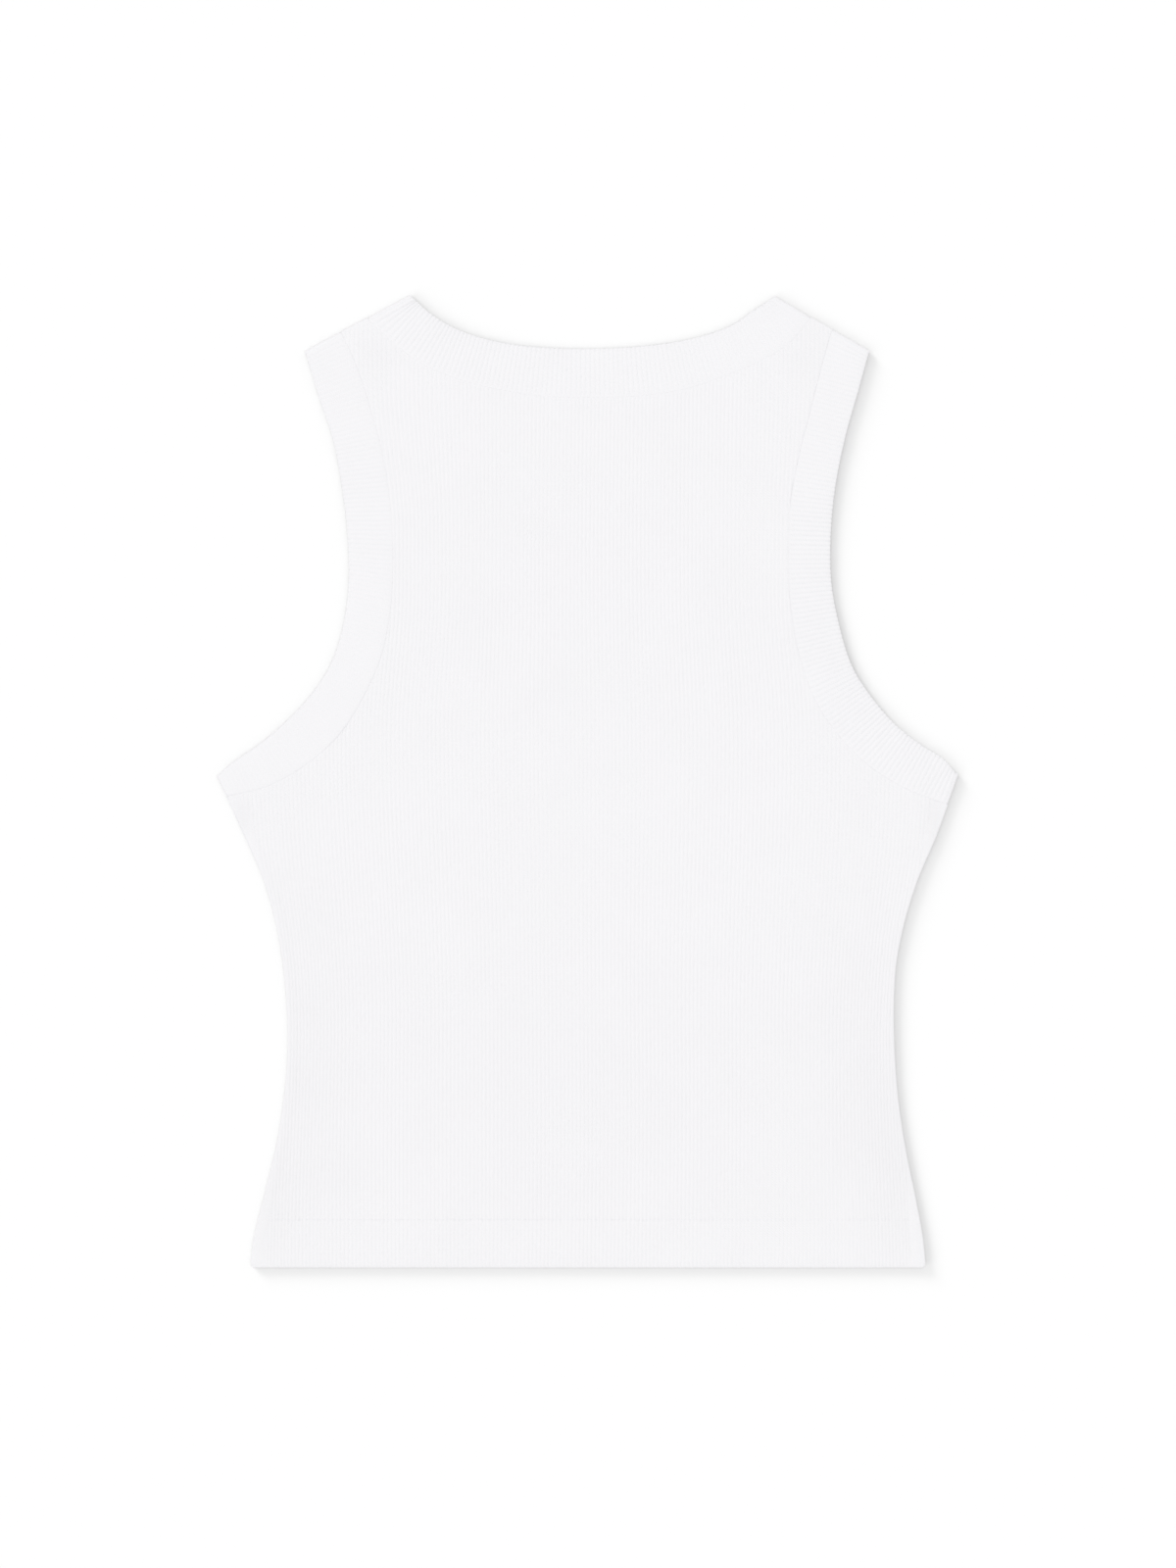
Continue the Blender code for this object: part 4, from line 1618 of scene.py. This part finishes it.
# Spots of painted shade on the back: the cloth's colour is made greyer at the lower sides, near the hem's
# corners, at the underarm tips, near the shoulder seams and in soft creases, where shade falls.
BACK_SHADE_SPOTS = (
    ShadeSpot(-158.0, 95.0, 30.0, 90.0, 0.009),
    ShadeSpot(150.0, 95.0, 32.0, 90.0, 0.009),
    ShadeSpot(0.0, 90.0, 150.0, 60.0, 0.008),
    ShadeSpot(-128.0, 50.0, 14.0, 16.0, 0.01),
    ShadeSpot(-163.0, 30.0, 12.0, 26.0, 0.01),
    ShadeSpot(156.0, 52.0, 12.0, 40.0, 0.013),
    ShadeSpot(-177.0, 229.0, 5.0, 9.0, 0.03),
    ShadeSpot(177.0, 228.0, 5.0, 14.0, 0.035),
    ShadeSpot(-108.0, 466.0, 9.0, 12.0, 0.012),
    ShadeSpot(112.0, 462.0, 12.0, 16.0, 0.016),
    ShadeSpot(-52.0, 339.0, 12.0, 10.0, 0.007),
    ShadeSpot(-14.0, 296.0, 14.0, 8.0, 0.01),
)
FRONT_CREASES = (
    Crease(-140.0, 250.0, -100.0, 215.0, 12.0, 0.2),
    Crease(145.0, 262.0, 110.0, 230.0, 10.0, 0.2),
    Crease(-60.0, 330.0, -20.0, 318.0, 18.0, -0.12),
    Crease(52.0, 150.0, 80.0, 100.0, 18.0, 0.12),
)
# How far each band comes down at its seam and how full its ribs are, by the share along the back.
NECK_GROOVES = ((0.0, 0.4), (1.0, 0.4))
NECK_RELIEF = ((0.0, 0.75), (0.3, 0.64), (0.6, 0.64), (0.75, 0.45), (1.0, 0.4))
LEFT_GROOVES = ((0.0, 0.46), (0.3, 0.43), (0.5, 0.38), (0.64, 0.31), (0.84, 0.3), (1.0, 0.4))
LEFT_RELIEF = ((0.0, 0.35), (0.15, 0.32), (0.25, 0.52), (0.45, 0.52), (0.55, 0.22), (0.7, 0.06), (1.0, 0.1))
RIGHT_GROOVES = ((0.0, 0.08), (0.5, 0.08), (0.7, 0.3), (1.0, 0.34))
RIGHT_RELIEF = ((0.0, 0.45), (0.2, 0.45), (0.35, 0.82), (1.0, 0.75))


@dataclass
class TankTop:
    """The whole garment: two panels, three bands and the hem's stitching."""

    cut: Cut
    layout: RibLayout
    body_finish: CottonRib
    band_finish: CottonRib
    thread_finish: SewingThread

    def build(self) -> None:
        """Make every piece, let it ride on the body, log its size and hide the solid that it replaces."""
        body = self.body_finish.make()
        trim = self.band_finish.make()
        thread = self.thread_finish.make()
        self.build_panel(Layer.BACK, BACK_CREASES, BACK_SHADE_SPOTS, body, thread)
        self.build_panel(Layer.FRONT, FRONT_CREASES, (), body, thread)
        neck = Band("neck_binding", self.cut, self.cut.neck_folds(), self.cut.neck_curves(Layer.BACK),
                    self.cut.neck_curves(Layer.FRONT), squareness=1.0, seam_reach=3.0, seam_ease=0.6,
                    grooves=NECK_GROOVES, relief=NECK_RELIEF, sag=1.5)
        left = self.arm_band(Side.LEFT, squareness=0.5, seam_ease=0.3, grooves=LEFT_GROOVES,
                             relief=LEFT_RELIEF)
        right = self.arm_band(Side.RIGHT, squareness=1.0, grooves=RIGHT_GROOVES, relief=RIGHT_RELIEF)
        self.build_band(neck, "neck_band", trim)
        self.build_band(left, "armhole_band_left", trim)
        self.build_band(right, "armhole_band_right", trim)

    def arm_band(self, side: Side, **finish: object) -> Band:
        """One armhole's band, with its own squareness, easing, grooves and relief."""
        return Band(f"{side.name.lower()}_arm_binding", self.cut, self.cut.arm_folds(side),
                    self.cut.arm_curves(side, Layer.BACK), self.cut.arm_curves(side, Layer.FRONT), **finish)

    def build_panel(self, layer: Layer, creases: tuple[Crease, ...], shade_spots: tuple[ShadeSpot, ...],
                    material: bpy.types.Material, thread: bpy.types.Material) -> None:
        """Args:
            layer: The panel's layer.
            creases: Its creases.
            shade_spots: Its spots of painted shade.
            material: The cloth's finish.
            thread: The thread's.
        """
        name = layer.value
        rib_points = 5 if layer is Layer.BACK else 4   # the hidden front has a coarser net
        panel = Panel(f"{name}_cloth", layer, self.cut, self.layout, creases, shade_spots, rib_points)
        cloth = panel.build(material)
        stitches = CoverStitch(f"{name}_hem_stitches", panel).build(thread)
        for piece in (cloth, stitches):
            self.attach(piece)
        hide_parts(f"{name}_panel")

    def build_band(self, band: Band, node: str, material: bpy.types.Material) -> None:
        """Args:
            band: The band.
            node: The solid that it stands for.
            material: Its finish.
        """
        piece = band.build(material)
        self.attach(piece)
        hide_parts(node)

    def attach(self, piece: bpy.types.Object) -> None:
        """Let a piece ride on the body and report it.

        Args:
            piece: The piece's object.
        """
        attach(piece, BODY)
        LOG.info("%s: %d vertices, %d faces", piece.name, len(piece.data.vertices), len(piece.data.polygons))


def main() -> None:
    """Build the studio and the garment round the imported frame."""
    logging.basicConfig(level=logging.INFO, format="%(name)s: %(message)s")
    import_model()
    Studio().build()
    garment = TankTop(
        cut=Cut(),
        layout=RibLayout(),
        body_finish=CottonRib("white_cotton_body_rib", "#EDECEE", "#ECECEE", pitch=1.99),
        band_finish=CottonRib("white_cotton_band_rib", "#EDECEE", "#ECECEE", pitch=2.4),
        thread_finish=SewingThread(),
    )
    garment.build()
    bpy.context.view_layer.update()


if __name__ == "__main__":
    main()
